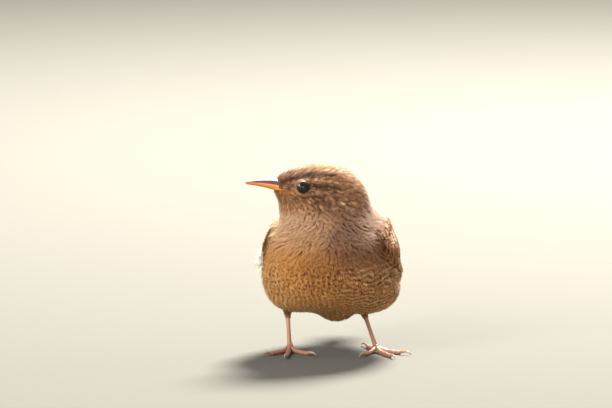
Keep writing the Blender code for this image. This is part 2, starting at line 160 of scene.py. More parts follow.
# Legs
ANKLE = {"left": np.array((8.5, 4.0, 15.5)) * MM, "right": np.array((-13.3, 3.0, 16.0)) * MM}
TOE_JOINT = {"left": np.array((13.6, -1.5, 1.45)) * MM, "right": np.array((-12.4, -1.5, 1.45)) * MM}
TARSUS_R = 0.57 * MM
THIGH_TOP_R = 3.4 * MM
THIGH_END_R = 1.0 * MM
THIGH_SHARE = 0.33
THIGH_RINGS = 24
THIGH_SPOKES = 40
TOES = {
    "inner": (8.2 * MM, -48),
    "middle": (11.2 * MM, 0),
    "outer": (8.6 * MM, 36),
    "hind": (7.6 * MM, 178),
}
FOOT_TURN = {"left": 22, "right": -6}
TOE_R = 0.72 * MM
SHANK_SCUTES = 9
TOE_SCUTES = 14
CLAW_LENGTH = 3.4 * MM
HIND_CLAW_LENGTH = 4.6 * MM
CLAW_R = 0.45 * MM
CLAW_TIP_R = 0.25 * MM
CLAW_CURL = 1.35

# Feathers of the coat: length and half width in root spacings, raggedness, and barb width in barb steps
FEATHER_LONG = 3.6
FEATHER_WIDE = 0.80
FEATHER_FRAY = 0.07
BARB_WIDE = 0.4092

# Step from one dark bar to the next on flanks and belly, in mm
BAR_STEP = 1.6

# Size of a feather's own patch on the unwrap, and columns and rows of the sheet where each large feather of a
# wing has a cell, the last row for the wing's own form
PATCH = 0.003
WING_CELLS = (12, 9)

# Camera: size of a photo pixel at the bird, the photo's width, what the camera aims at, its rise and distance
PIXEL = 0.30 * MM
PHOTO_WIDTH = 612
AIM_ASIDE = -25 * PIXEL
AIM_UP = 148 * PIXEL
CAMERA_RISE = math.radians(8)
CAMERA_AWAY = 1.6
SENSOR_WIDTH = 36.0

# Studio: half width and colour of the floor, sky, what the lights aim at, and each light's place, size in
# metres, power in watts and colour
FLOOR_HALF = 4.0
FLOOR_COLOUR = (0.125, 0.125, 0.118, 1)
SKY_COLOUR = (1.0, 0.97, 0.93, 1)
SKY_STRENGTH = 0.55
LIT_POINT = (0, 0, 0.03)
LIGHTS = {
    "key": ((-0.62, -0.62, 0.55), 0.45, 11.0, (1.0, 0.93, 0.82)),
    "rim": ((0.22, 0.64, 0.84), 0.36, 72.0, (1.0, 0.94, 0.82)),
    "fill": ((-0.40, -0.95, 0.10), 0.50, 2.2, (1.0, 0.90, 0.76)),
    "bounce": ((0.34, -0.88, 0.05), 0.50, 2.4, (1.0, 0.84, 0.62)),
    "side": ((0.85, 0.30, 0.30), 0.30, 1.6, (1.0, 0.88, 0.72)),
}

SIDES = {"left": 1, "right": -1}
UPWARD = np.array((0, 0, 1.0))
LEVEL = np.array((1, 1, 0))


def turn_z(angle):
    """Matrix of a turn about the upright axis."""
    return np.array(Matrix.Rotation(angle, 3, "Z"))


TO_BODY = turn_z(BODY_YAW)
TO_HEAD = turn_z(HEAD_YAW)


def head_point(side, ahead, up):
    """A point of the head's frame, in the bird's."""
    return HEAD_AT + TO_HEAD @ np.array((side, -ahead, up))


# The solids were centred on the floor: this is how far they moved
low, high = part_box("eye_left")
MOVED = np.array((low + high) / 2) - head_point(EYE_SIDE, EYE_AHEAD, EYE_UP)


def smooth(low, high, x):
    """0 below low, 1 above high, an even ease between them; high may be the lower one."""
    share = np.clip((x - low) / (high - low), 0, 1)
    return share * share * (3 - 2 * share)


def hill(x, middle, half):
    """1 at the middle, falling off as a bell to about a third at half away."""
    return np.exp(-(((x - middle) / half) ** 2))


def unit(v):
    """Vectors of length one in the same directions."""
    return v / np.maximum(np.linalg.norm(v, axis=-1, keepdims=True), 1e-12)


def spine_length(spine):
    """Sum of the steps from station to station of each spine."""
    return np.linalg.norm(np.diff(spine, axis=1), axis=-1).sum(1)


def mass_distance(points, centre, half_axes, pitch):
    """Nearly the distance from each point to one ellipsoid: its scaled radius, less one, over its slope."""
    turned = (points - np.array(centre) * MM) @ np.array(Matrix.Rotation(math.radians(pitch), 3, "X"))
    half = np.array(half_axes) * MM
    share = np.linalg.norm(turned / half, axis=-1)
    slope = np.linalg.norm(turned / half**2, axis=-1)
    return share * (share - 1) / np.maximum(slope, 1e-9)


def smooth_union(each, blend):
    """Least of several distances, with the creases between them filled: the log of a sum of exponentials."""
    each = np.stack(each)
    least = each.min(axis=0)
    return least - blend * np.log(np.exp((least - each) / blend).sum(axis=0))


def plumage_distance(points):
    """The smooth union of all masses: zero at the feather tips. A dish is hollowed round each eye, and the
    ball's cover and the feathers of the chin join with a tighter blend."""
    trunk = points @ TO_BODY
    head = (points - HEAD_AT) @ TO_HEAD
    each = [mass_distance(trunk, *mass) for mass in BODY_MASSES]
    each += [mass_distance(head, *mass) for mass in HEAD_MASSES]
    whole = smooth_union([smooth_union(each, BLEND), mass_distance(head, *CHIN_MASS)], FINE_BLEND)
    beside = np.concatenate([np.abs(head[..., :1]), head[..., 1:]], -1)
    dish_middle = np.array((DISH_SIDE, -EYE_AHEAD, EYE_UP))
    dish = DISH_R - np.linalg.norm(beside - dish_middle, axis=-1)
    whole = -smooth_union([-whole, -dish], FINE_BLEND)
    ball_middle = np.array((EYE_SIDE - EYE_SINK, -EYE_AHEAD, EYE_UP))
    cover = np.linalg.norm(beside - ball_middle, axis=-1) - EYE_R - LID_COVER
    return smooth_union([whole, cover], EYE_BLEND)


def outward(points, step=0.05 * MM):
    """Unit normals of the plumage, from differences of its distance along X, Y and Z."""
    slope = [
        plumage_distance(points + step * axis) - plumage_distance(points - step * axis)
        for axis in np.eye(3)
    ]
    return unit(np.stack(slope, -1))


def settle(points, level, rounds=2):
    """Moves points along the normal until their distance from the plumage surface is level."""
    for _ in range(rounds):
        normal = outward(points)
        points = points + normal * (level - plumage_distance(points))[..., None]
    return points, outward(points)


def plumage_grid(rings, spokes, depth):
    """Rays leave a leaning axis, straight down at its foot, level half way and straight up at its head. Each
    point lies where its ray reaches the given depth, a function of the point, under the plumage surface."""
    share = np.linspace(0, 1, rings)[:, None, None]
    spoke = (2 * math.pi * np.arange(spokes + 1) / spokes)[None, :, None]
    rise = math.pi * (share - 0.5)
    start = AXIS_LOW + (AXIS_HIGH - AXIS_LOW) * share * share * (3 - 2 * share)
    ray = [np.cos(rise) * np.cos(spoke), np.cos(rise) * np.sin(spoke), np.sin(rise) * np.ones_like(spoke)]
    ray = np.concatenate(ray, axis=-1)
    reach = np.zeros((rings, spokes + 1))
    for _ in range(SEARCH_ROUNDS):
        points = start + ray * reach[..., None]
        reach -= SEARCH_STEP * (plumage_distance(points) + depth(points))
    return start + ray * reach[..., None]


def in_head(points):
    """Side, ahead and up in the head's frame, in mm."""
    local = (points - HEAD_AT) @ TO_HEAD / MM
    return local[..., 0], -local[..., 1], local[..., 2]


def in_body(points):
    """Side, back and up in the body's frame, in mm."""
    local = points @ TO_BODY / MM
    return local[..., 0], local[..., 1], local[..., 2]


def from_eye(points):
    """How far each point is from the line through both eyes, in mm."""
    _, ahead, up = in_head(points)
    return np.hypot(ahead - EYE_AHEAD / MM, up - EYE_UP / MM)


def beside_head(points, low, high):
    """0 nearer the head's midline than low and 1 further out than high, in mm."""
    return smooth(low, high, np.abs(in_head(points)[0]))


# Mesh making


def four(*values):
    """A four-part attribute from up to four arrays, one value for each point; the last fills the rest."""
    columns = [np.ravel(value) for value in np.broadcast_arrays(*values)]
    return np.stack(columns + [columns[-1]] * (4 - len(columns)), -1)


def make_piece(name, points, polygons, paint, uv=None, smooth_shade=True, **attributes):
    """A mesh object from arrays: polygons is a list of index arrays, each of one polygon size. uv is one pair
    for each point, and each further keyword is a four-part attribute of the points."""
    points = np.asarray(points, float).reshape(-1, 3) + MOVED
    mesh = bpy.data.meshes.new(name)
    mesh.vertices.add(len(points))
    mesh.vertices.foreach_set("co", points.astype(np.float32).ravel())
    corners = np.concatenate([p.ravel() for p in polygons]).astype(np.int32)
    sizes = np.concatenate([np.full(len(p), p.shape[1]) for p in polygons]).astype(np.int32)
    starts = np.concatenate([[0], np.cumsum(sizes)[:-1]]).astype(np.int32)
    mesh.loops.add(len(corners))
    mesh.loops.foreach_set("vertex_index", corners)
    mesh.polygons.add(len(sizes))
    mesh.polygons.foreach_set("loop_start", starts)
    mesh.polygons.foreach_set("loop_total", sizes)
    mesh.polygons.foreach_set("use_smooth", np.full(len(sizes), smooth_shade))
    mesh.update(calc_edges=True)
    for key, values in attributes.items():
        layer = mesh.color_attributes.new(key, "FLOAT_COLOR", "POINT")
        layer.data.foreach_set("color", values.astype(np.float32).ravel())
    if uv is not None:
        layer = mesh.uv_layers.new(name="OFBake")
        layer.data.foreach_set("uv", uv.astype(np.float32)[corners].ravel())
    mesh.materials.append(paint)
    piece = bpy.data.objects.new(name, mesh)
    bpy.context.scene.collection.objects.link(piece)
    return piece


def finish_piece(piece, slot, *nodes):
    """Fixes a piece to the bird, in place of the solids that it stands for."""
    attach(piece, "root")
    if nodes:
        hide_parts(*nodes)


def quads(rows, columns, loop=False):
    """Corner indices of a grid's faces; loop joins its last column to its first."""
    index = np.arange(rows * columns).reshape(rows, columns)
    if loop:
        index = np.concatenate([index, index[:, :1]], axis=1)
    faces = np.stack([index[:-1, :-1], index[:-1, 1:], index[1:, 1:], index[1:, :-1]], -1)
    return faces.reshape(-1, 4)


def circle(count):
    """Angles evenly round a circle, as one row."""
    return (2 * math.pi * np.arange(count) / count)[None, :]


def at(line, share):
    """Reads (feathers, stations, 3) at shares of each line's length, straight between stations."""
    stations = line.shape[1]
    place = share * (stations - 1)
    below = np.clip(np.floor(place).astype(int), 0, stations - 2)
    rest = (place - below)[..., None]
    row = np.arange(len(line))[:, None]
    return line[row, below] * (1 - rest) + line[row, below + 1] * rest


# Materials


class Paint:
    """A Principled material whose nodes are added by short calls; a socket or a number can be an input."""

    def __init__(self, name, roughness=0.6, **settings):
        self.material = bpy.data.materials.new(name)
        self.material.use_nodes = True
        self.tree = self.material.node_tree
        self.shader = self.tree.nodes["Principled BSDF"]
        self.shader.inputs["Roughness"].default_value = roughness
        for key, value in settings.items():
            self.shader.inputs[key.replace("_", " ")].default_value = value

    def node(self, kind, **settings):
        """A new node with its settings."""
        made = self.tree.nodes.new(kind)
        for key, value in settings.items():
            setattr(made, key, value)
        return made

    def put(self, socket, value):
        """Links a socket, or sets a number or a colour."""
        if isinstance(value, bpy.types.NodeSocket):
            self.tree.links.new(value, socket)
        else:
            socket.default_value = value

    def calc(self, operation, *values):
        """One arithmetic step."""
        made = self.node("ShaderNodeMath", operation=operation)
        for socket, value in zip(made.inputs, values):
            self.put(socket, value)
        return made.outputs[0]

    def mix(self, share, first, second, blend="MIX"):
        """From the first colour to the second."""
        made = self.node("ShaderNodeMix", data_type="RGBA", blend_type=blend)
        self.put(made.inputs[0], share)
        for socket, value in ((made.inputs[6], first), (made.inputs[7], second)):
            self.put(socket, (*value, 1) if isinstance(value, tuple) else value)
        return made.outputs[2]

    def ramp(self, share, *stops):
        """Colours at places from 0 to 1, straight between them."""
        made = self.node("ShaderNodeValToRGB")
        self.put(made.inputs[0], share)
        band = made.color_ramp.elements
        while len(band) < len(stops):
            band.new(0.5)
        for element, (place, colour) in zip(band, stops):
            element.position = place
            element.color = (*colour, 1)
        return made.outputs[0]

    def attribute(self, name):
        """The four parts of a point attribute."""
        made = self.node("ShaderNodeAttribute", attribute_name=name)
        parts = self.node("ShaderNodeSeparateColor")
        self.tree.links.new(made.outputs["Color"], parts.inputs[0])
        return [*parts.outputs, made.outputs["Alpha"]]

    def place(self, node, stretch=(1, 1, 1)):
        """Lays a texture out by the piece's own place in space."""
        coordinates = self.node("ShaderNodeTexCoord")
        mapping = self.node("ShaderNodeMapping")
        mapping.inputs["Scale"].default_value = stretch
        self.tree.links.new(coordinates.outputs["Object"], mapping.inputs[0])
        self.tree.links.new(mapping.outputs[0], node.inputs["Vector"])

    def noise(self, scale, detail=3.0, stretch=(1, 1, 1)):
        """Fine grain, with so many spots to the metre."""
        made = self.node("ShaderNodeTexNoise")
        self.place(made, stretch)
        made.inputs["Scale"].default_value = scale
        made.inputs["Detail"].default_value = detail
        return made.outputs[0]

    def range(self, value, low, high, to_low=0.0, to_high=1.0):
        """An even ease from to_low at low to to_high at high."""
        made = self.node("ShaderNodeMapRange", interpolation_type="SMOOTHSTEP")
        self.put(made.inputs[0], value)
        for socket, number in zip(made.inputs[1:5], (low, high, to_low, to_high)):
            socket.default_value = number
        return made.outputs[0]

    def bump(self, height, depth):
        """Relief of the given depth in metres."""
        made = self.node("ShaderNodeBump")
        made.inputs["Strength"].default_value = 1.0
        made.inputs["Distance"].default_value = depth
        self.put(made.inputs["Height"], height)
        self.tree.links.new(made.outputs[0], self.shader.inputs["Normal"])

    def grey(self, value):
        """A colour with three equal parts."""
        made = self.node("ShaderNodeCombineColor")
        for socket in made.inputs[:3]:
            self.put(socket, value)
        return made.outputs[0]

    def colour(self, value):
        """Sets the surface's own colour."""
        self.put(self.shader.inputs["Base Color"], value)


# Ground colours of the plumage from dark to pale, rufous and grey brown, and the dark of its marks
WARM_GROUND = (
    (0.00, (0.022, 0.010, 0.005)),
    (0.25, (0.098, 0.039, 0.013)),
    (0.50, (0.288, 0.112, 0.028)),
    (0.75, (0.515, 0.243, 0.068)),
    (1.00, (0.740, 0.480, 0.230)),
)
COOL_GROUND = (
    (0.00, (0.023, 0.014, 0.011)),
    (0.25, (0.090, 0.052, 0.038)),
    (0.50, (0.248, 0.137, 0.090)),
    (0.75, (0.450, 0.282, 0.185)),
    (1.00, (0.780, 0.660, 0.520)),
)
MARK = (0.052, 0.023, 0.010)


def feather_paint(name, roughness=0.7):
    """Zone gives ground lightness, coolness, strength of the mark and its breadth; vane gives the place along
    and across the feather and the barb's own tone. A mark is an oval near the tip, and a broad one has a
    second oval below it."""
    paint = Paint(name, roughness, Specular_IOR_Level=0.15, Sheen_Weight=0.25, Sheen_Roughness=0.4)
    light, cool, strength, breadth = paint.attribute("zone")
    along, across, barb, _ = paint.attribute("vane")
    level = paint.calc("ADD", light, paint.range(along, 0.84, 1.0, 0.0, 0.12))
    level = paint.calc("ADD", level, paint.range(along, 0.60, 0.25, 0.0, -0.06))
    ground = paint.mix(cool, paint.ramp(level, *WARM_GROUND), paint.ramp(level, *COOL_GROUND))
    offset = paint.calc("ABSOLUTE", paint.calc("MULTIPLY", paint.calc("SUBTRACT", across, 0.5), 2.0))
    reach = paint.calc("ADD", paint.calc("MULTIPLY", breadth, 0.75), 0.50)
    aside = paint.calc("POWER", paint.calc("DIVIDE", offset, reach), 2.0)
    place = paint.calc("ADD", along, paint.calc("MULTIPLY", barb, 0.03))

    def oval(middle, half):
        """Square of the distance from an oval's middle, 1 at its edge."""
        off = paint.calc("DIVIDE", paint.calc("SUBTRACT", place, middle), half)
        return paint.calc("ADD", paint.calc("POWER", paint.calc("ABSOLUTE", off), 2.0), aside)

    second = paint.calc("ADD", oval(0.60, 0.075), paint.range(breadth, 0.7, 0.4, 0.0, 3.0))
    mark = paint.range(paint.calc("MINIMUM", oval(0.85, 0.10), second), 1.15, 0.5)
    paint.colour(paint.mix(paint.calc("MULTIPLY", mark, strength), ground, MARK))
    return paint.material


def tinted(light, cool, regions):
    """Adds to lightness and coolness what each region changes in them, by its share at each point."""
    for region, lighter, cooler in regions:
        light = light + lighter * region
        cool = cool + cooler * region
    return light, cool


def head_tones(points):
    """Ground lightness, coolness, mark strength, mark breadth and contrast between neighbours over the head:
    brown cap edged with a dark line, pale brow, dark line behind the eye and in the lores, pale moustache,
    mottled cheek with a dusky patch, buff throat and a broken pale ring at the eye."""
    side, ahead, up = in_head(points)
    beside = smooth(2.6, 4.6, np.abs(side))
    cap = smooth(7.4, 8.2, up)
    edge = hill(up, 7.1 - 0.024 * (ahead - 1) ** 2, 0.62) * smooth(-8, -3, ahead)
    edge = edge * smooth(1.5, 3.0, np.abs(side))
    brow = hill(up, 5.55 - 0.015 * (ahead - 3) ** 2, 0.48) * smooth(-7, -3, ahead) * beside
    line = hill(up, 3.55 - 0.010 * (ahead - 4) ** 2, 1.0) * beside
    line = line * smooth(-7.5, -4.5, ahead) * smooth(5.0, 4.0, ahead)
    lores = hill(up, 3.3, 0.45) * smooth(7.9, 8.3, ahead) * smooth(10.5, 9.6, ahead) * beside
    moustache = hill(up, 1.0, 1.3) * smooth(7.0, 9.0, ahead)
    dusk = hill(up, -0.2, 0.8) * hill(ahead, 2.0, 4.0) * beside
    throat = smooth(-0.5, -3.5, up) * smooth(0, 6, ahead)
    turn = np.arctan2(up - EYE_UP / MM, ahead - EYE_AHEAD / MM)
    below = np.clip(0.35 - 0.65 * np.sin(turn), 0, 1)
    above = np.clip(np.sin(turn - 0.5), 0, 1) * 0.35
    ring = smooth(2.75, 2.25, from_eye(points)) * np.maximum(below, above) * beside
    regions = (
        (cap, 0.09, -0.25),
        (edge, -0.44, 0),
        (brow, 0.13, -0.05),
        (line, -0.32, -0.1),
        (lores, -0.16, 0),
        (moustache, 0.12, -0.62),
        (dusk, -0.10, 0),
        (throat, 0.17, -0.12),
        (ring, 0.28, 0),
        (smooth(0, -6, ahead), 0.05, 0),
    )
    light, cool = tinted(0.50 + 0.010 * (up - 3), 0.62, regions)
    contrast = 0.30 + 0.12 * smooth(3.0, 1.0, up) * smooth(8, 4, ahead) + 0.24 * smooth(6.6, 7.8, up)
    strength = 0.10 + 0.35 * smooth(3.0, 1.5, up) * smooth(8, 5, ahead) + 0.55 * cap
    return light, cool, strength, np.full_like(light, 0.35), contrast * (1 - 0.6 * ring)


def trunk_tones(points):
    """Ground lightness, coolness, mark strength, mark breadth and contrast between neighbours over the trunk:
    greyer on the breast with a dusky parting, warm tan on the belly, darkest at the left shoulder and upper
    breast in painted shade, lighter and warmer on the right side in painted light, lightened low on the belly
    by painted bounce light, brown and barred on the back, pale along the front edge of the wing."""
    x, back, z = in_body(points)
    front = smooth(9, -3, back)
    upper = smooth(3, 9, back) * smooth(20, 25, z)
    low = smooth(16, 9, z)
    flank = smooth(8, 15, np.abs(x)) * smooth(32, 24, z)
    barred = np.maximum(flank, 0.7 * smooth(24, 17, z) * front)
    middle = hill(x, 1, 6) * front * smooth(34, 30, z) * smooth(15, 21, z)
    parting = hill(x, 4.2 + 0.25 * (z - 34), 1.9) * hill(z, 35.5, 4.2) * front
    regions = (
        (front, 0.06, 0),
        (smooth(31, 36, z) * front, 0.07, 0),
        (smooth(25, 15, z), 0.03, 0),
        (smooth(13, 8, z), -0.04, 0),
        # painted light: the low belly and vent are lightened as if by bounce light from below
        (smooth(19, 12, z), 0.05, 0),
        (smooth(20, 12, z), 0, -0.12),
        # painted light: the bird's right side, towards the key lamp, is lighter and warmer
        (smooth(2, -9, x) * front, 0.06, 0),
        (smooth(0, -8, x) * smooth(36, 28, z), 0, -0.12),
        (smooth(2, 9, x) * front * smooth(31, 24, z), 0.03, 0),
        # painted shade: the bird's left shoulder and upper breast, away from the key lamp, are darker and
        # greyer
        (smooth(2, 9, x) * front * smooth(24, 32, z), -0.26, 0),
        (smooth(3, 11, x) * front * smooth(20, 30, z), 0, 0.30),
        (middle, -0.08, 0),
        (parting, -0.14, 0.3),
    )
    light, cool = tinted(0.63, 0.78 - 0.72 * smooth(41, 27, z) * (0.4 + 0.6 * front), regions)
    light = light + upper * (0.34 - light)
    cool = cool + upper * (0.15 - cool)
    border, under = wing_border(points)
    regions = (
        (border - under, 0.20, 0),
        (barred * (0.10 + 0.04 * smooth(0, 6, x)), 1, 0),
        (smooth(2, 9, x) * smooth(33, 26, z) * front, 0, 0.10),
    )
    light, cool = tinted(light, cool, regions)
    strength = np.maximum.reduce([0.82 * smooth(34, 28, z), 0.75 * upper, 0.95 * low, flank])
    breadth = 0.05 + 0.70 * barred + 0.75 * low + 0.85 * upper
    contrast = 0.05 + 0.06 * smooth(30, 20, z) + 1.1 * (border - under) + 0.2 * under + 0.03 * flank
    return light, cool, strength * (1 - 0.50 * barred), breadth, contrast


def cross_bars(points):
    """How dark the marks across flanks and belly are at each point, 0 to 1: a wavy wave in height that fades
    out on the breast, whole as bars on the left flank and broken into spots elsewhere by a wave across."""
    x, back, z = in_body(points)
    flank = smooth(7, 13, np.abs(x)) * smooth(31, 24, z)
    barred = np.maximum(flank, 0.75 * smooth(32, 25, z) * smooth(9, -3, back))
    bend = 0.34 * np.sin(0.9 * x + 0.5 * back) + 0.26 * np.sin(2.3 * x - 1.1 * z)
    bend = bend + 0.12 * np.sin(0.37 * x + 0.61 * z)
    wave = np.sin(2 * math.pi * (z - 0.5 * back + 0.25 * x + bend) / BAR_STEP)
    sway = 0.35 * np.sin(1.3 * z) + 0.25 * np.sin(0.43 * z - 0.29 * x)
    spots = smooth(-0.3, 0.5, np.sin(2 * math.pi * (x + sway) / BAR_STEP))
    whole = smooth(3, 8, x)
    return barred * smooth(0.0, -0.6, wave) * (spots + (1 - spots) * whole)


def markings(points):
    """Ground lightness, coolness, mark strength and mark breadth at points of the coat, each from 0 to 1, and
    the contrast between neighbouring feathers: the trunk's own, passing over the neck into the head's."""
    on_head = smooth(41.5, 46.0, points[..., 2] / MM)[..., None]
    head = np.stack(head_tones(points), -1)
    trunk = np.stack(trunk_tones(points), -1)
    tones = trunk + (head - trunk) * on_head
    return tones[..., :4].clip(0, 1), tones[..., 4]


def skin_paint():
    """Skin carries the coat's own ground colours, and its marks as small dark cells."""
    paint = Paint("bird_skin", 0.7, Specular_IOR_Level=0.2)
    light, cool, strength, _ = paint.attribute("zone")
    level = paint.calc("SUBTRACT", light, paint.range(paint.noise(900.0), 0.3, 0.7, 0.0, 0.2))
    ground = paint.mix(cool, paint.ramp(level, *WARM_GROUND), paint.ramp(level, *COOL_GROUND))
    cells = paint.node("ShaderNodeTexVoronoi")
    cells.inputs["Scale"].default_value = 560.0
    paint.place(cells)
    mark = paint.range(cells.outputs["Distance"], 0.32, 0.18)
    paint.colour(paint.mix(paint.calc("MULTIPLY", mark, strength), ground, MARK))
    paint.bump(paint.noise(2500.0), 0.0001)
    return paint.material


# How feathers lie, and how they are laid out on the unwrap


def lie(points, normals):
    """The way feathers point at each place: from the bill back over the head, down the breast and flanks,
    back under the vent and over the rump, up over the wing's lower edge and round the eye; made level with
    the surface, with a slow waver."""
    side, ahead, up = in_head(points)
    x, back, z = in_body(points)
    low = smooth(19, 11, z)[..., None]
    body_way = np.array((0, 0.50, -1.0)) * (1 - low) + np.array((0, 1.0, -0.25)) * low
    rear = smooth(8, 18, back)[..., None]
    body_way = body_way * (1 - rear) + np.array((0, 1.0, -0.15)) * rear
    parted = hill(x, 4.0, 3.5) * hill(z, 36, 6) * np.tanh((x - 4.0) / 1.5) * 0.35
    waver = 0.16 * np.sin(0.55 * x + 0.31 * z) + 0.10 * np.sin(0.9 * x - 0.7 * z + 0.5 * back) + parted
    body_way = body_way + waver[..., None] * np.array((1.0, 0, 0))
    at_wing = wing_border(points)[1][..., None]
    body_way = body_way * (1 - 0.8 * at_wing) + np.array((0, 1.0, 0.30)) * at_wing
    chin = smooth(2.5, -5.0, up)[..., None]
    head_way = np.array((0, 1.0, -0.16)) * (1 - chin) + np.array((0, 0.60, -1.0)) * chin
    bend = 0.12 * np.sin(1.1 * ahead + 0.8 * up) + 0.08 * np.sin(0.7 * up - 1.7 * ahead)
    head_way = head_way + bend[..., None] * UPWARD
    eye_up, eye_ahead = up - EYE_UP / MM, ahead - EYE_AHEAD / MM
    ring = np.hypot(eye_up, eye_ahead)
    around = (smooth(4.2, 2.2, ring) * smooth(2.5, 4.5, np.abs(side)))[..., None]
    away = np.stack([0 * ring, -eye_ahead, eye_up], -1) / np.maximum(ring, 0.1)[..., None]
    head_way = head_way + around * away * 1.1
    share = smooth(38.5, 46.5, z)[..., None]
    way = body_way @ TO_BODY.T * (1 - share) + head_way @ TO_HEAD.T * share
    way = way - normals * (way * normals).sum(-1, keepdims=True)
    return unit(way)


def feather_size(points):
    """Spacing between feather roots, in mm: finest at the bill and eye, largest on belly, back and flanks."""
    _, ahead, up = in_head(points)
    _, back, z = in_body(points)
    head_size = 0.55 - 0.20 * smooth(2, 10, ahead) + 0.10 * smooth(0, -6, up) * smooth(9, 3, ahead)
    head_size = head_size - 0.24 * smooth(3.2, 2.2, from_eye(points)) * beside_head(points, 2.5, 4.0)
    body_size = 0.62 + 0.18 * smooth(36, 27, z) + 0.25 * smooth(6, 14, back)
    share = smooth(38, 48, z)
    return body_size * (1 - share) + head_size * share


def trunk_place(share):
    """Where a share of the trunk's grid, round and up, lies on the unwrap: above the strip of the thighs."""
    return np.stack([0.005 + 0.99 * share[..., 0], 0.105 + 0.89 * share[..., 1]], -1)


def thigh_place(side_name, turn, share):
    """Where a place round and down a thigh lies on the unwrap: in a strip of its own under the trunk's."""
    start = 0.02 if side_name == "left" else 0.52
    return np.stack([start + 0.45 * turn, 0.01 + 0.075 * share], -1)


def feather_patch(place, layout):
    """A patch of PATCH across at the feather's place on the unwrap, with the feather laid out in it."""
    return (place[:, None, :] + (layout - 0.5) * PATCH).reshape(-1, 2)


def feather_cells(first, columns, rows, layout):
    """A cell for each large feather, in a sheet of columns by rows from the cell numbered first."""
    number = first + np.arange(len(layout))
    cell = np.stack([number % columns, number // columns], -1)[:, None, :]
    return ((cell + 0.04 + 0.92 * layout.clip(0, 1)) / (columns, rows)).reshape(-1, 2)


# Folded wing as a place to lay feathers on


def plumage_half_width(side, y, z):
    """How far the plumage reaches to one side of the midline, at y back and z up in the body's frame."""
    reach = np.zeros(np.broadcast(y, z).shape)
    for _ in range(SEARCH_ROUNDS):
        points = np.stack(np.broadcast_arrays(side * reach, y, z), -1) @ TO_BODY.T
        reach -= SEARCH_STEP * plumage_distance(points)
    return reach


def wing_half_width(along):
    """Half the wing's width at a share of its length: round at the wrist, drawn in towards the tip."""
    rounded = np.sqrt(1 - (1 - np.clip(along / WRIST_SHARE, 0, 1)) ** 2)
    return 0.5 * WING_WIDTH * rounded * (1 - along**2.4) ** 0.8 + WING_EDGE


def wing_outline(along, across):
    """Back and up of a place on the wing: along runs from wrist to tip, across from lower to upper edge, -1
    to 1."""
    run = along * WING_RUN
    rise = across * wing_half_width(along) + WING_BOW * np.sin(math.pi * along)
    return WRIST_Y + run * WING_WAY[0] - rise * WING_WAY[1], WRIST_Z + run * WING_WAY[1] + rise * WING_WAY[0]


def wing_place(y, z):
    """Where a point given by back and up lies on the wing: its share from wrist to tip, how far it is inside
    the upper and lower edges, how far behind the wrist, and its share across, -1 to 1."""
    along = ((y - WRIST_Y) * WING_WAY[0] + (z - WRIST_Z) * WING_WAY[1]) / WING_RUN
    inside = np.clip(along, 0, 1)
    rise = -(y - WRIST_Y) * WING_WAY[1] + (z - WRIST_Z) * WING_WAY[0] - WING_BOW * np.sin(math.pi * inside)
    half = wing_half_width(inside)
    return along, half - np.abs(rise), along * WING_RUN, np.clip(rise / half, -1, 1)


def bare_depth(along, edge, behind, across):
    """How far inside the bare part of the folded wing a place lies, in metres. The coat covers the wing's
    front, and the shoulder feathers reach further over its upper edge."""
    shoulder = SHOULDER_COVER * smooth(24 * MM, 10 * MM, behind) * smooth(-0.1, 0.4, across)
    return np.minimum(np.minimum(edge - shoulder, behind - FRONT_COVER), (1 - along) * 40 * MM)


def wing_border(points):
    """1 along the front and lower edges of the wing's bare part, easing to 0 within a few millimetres of
    them; and the same for the lower edge alone."""
    x, back, z = in_body(points)
    along, edge, behind, across = wing_place(back * MM, z * MM)
    inner = bare_depth(along, edge, behind, across) / MM
    border = smooth(-3.5, -0.8, inner) * smooth(3.2, 1.2, inner) * smooth(28, 16, behind / MM)
    border = border * smooth(6, 11, np.abs(x))
    return border, border * smooth(0.1, -0.3, across)


def wing_bed(side, y, z):
    """How far out from the midline the folded wing lies: an oval in plan and in section, but never inside the
    plumage."""
    back = np.clip((y - BED_WIDEST_Y) / (TIP_Y - BED_WIDEST_Y), 0, 1)
    front = np.clip((BED_WIDEST_Y - y) / (27 * MM), 0, 1)
    widest = BED_HALF_WIDTH * (1 - 0.7 * back**1.6) * np.sqrt(1 - front**2)
    middle = (29.0 - 7.0 * back) * MM
    half_height = (18.0 - 8.0 * back) * MM
    oval = widest * np.sqrt(np.clip(1 - ((z - middle) / half_height) ** 2, 0.04, 1))
    return np.maximum(oval, plumage_half_width(side, y, z) - WING_SINK)


def wing_thickness(along, across):
    """Thin at all edges, full in the middle, and less towards the tip."""
    ends = np.sqrt(np.clip(1 - (2 * along - 1) ** 6, 0, 1))
    body = (1 - np.abs(across) ** 2.5) * ends * (1 - 0.45 * along)
    return WING_RIM + (WING_THICK - WING_RIM) * body


def wing_grid(rows=50, columns=26):
    """Shares along and across of a grid over the wing, and its points' back and up."""
    along = np.linspace(0, 1, rows)[:, None] * np.ones(columns)
    across = np.linspace(-1, 1, columns)[None, :] * np.ones((rows, 1))
    return along, across, *wing_outline(along, across)


def wing_sheet(side, lift):
    """One face of the folded wing as a grid of points with outward normals, in the bird's frame: lift 1 is
    the solid's outer face and 0 its bed against the body."""
    along, across, y, z = wing_grid()
    out = side * (wing_bed(side, y, z) + lift * wing_thickness(along, across))
    points = np.stack([out, y, z], -1) @ TO_BODY.T
    normal = unit(np.cross(np.gradient(points, axis=0), np.gradient(points, axis=1))) * side
    return points, normal


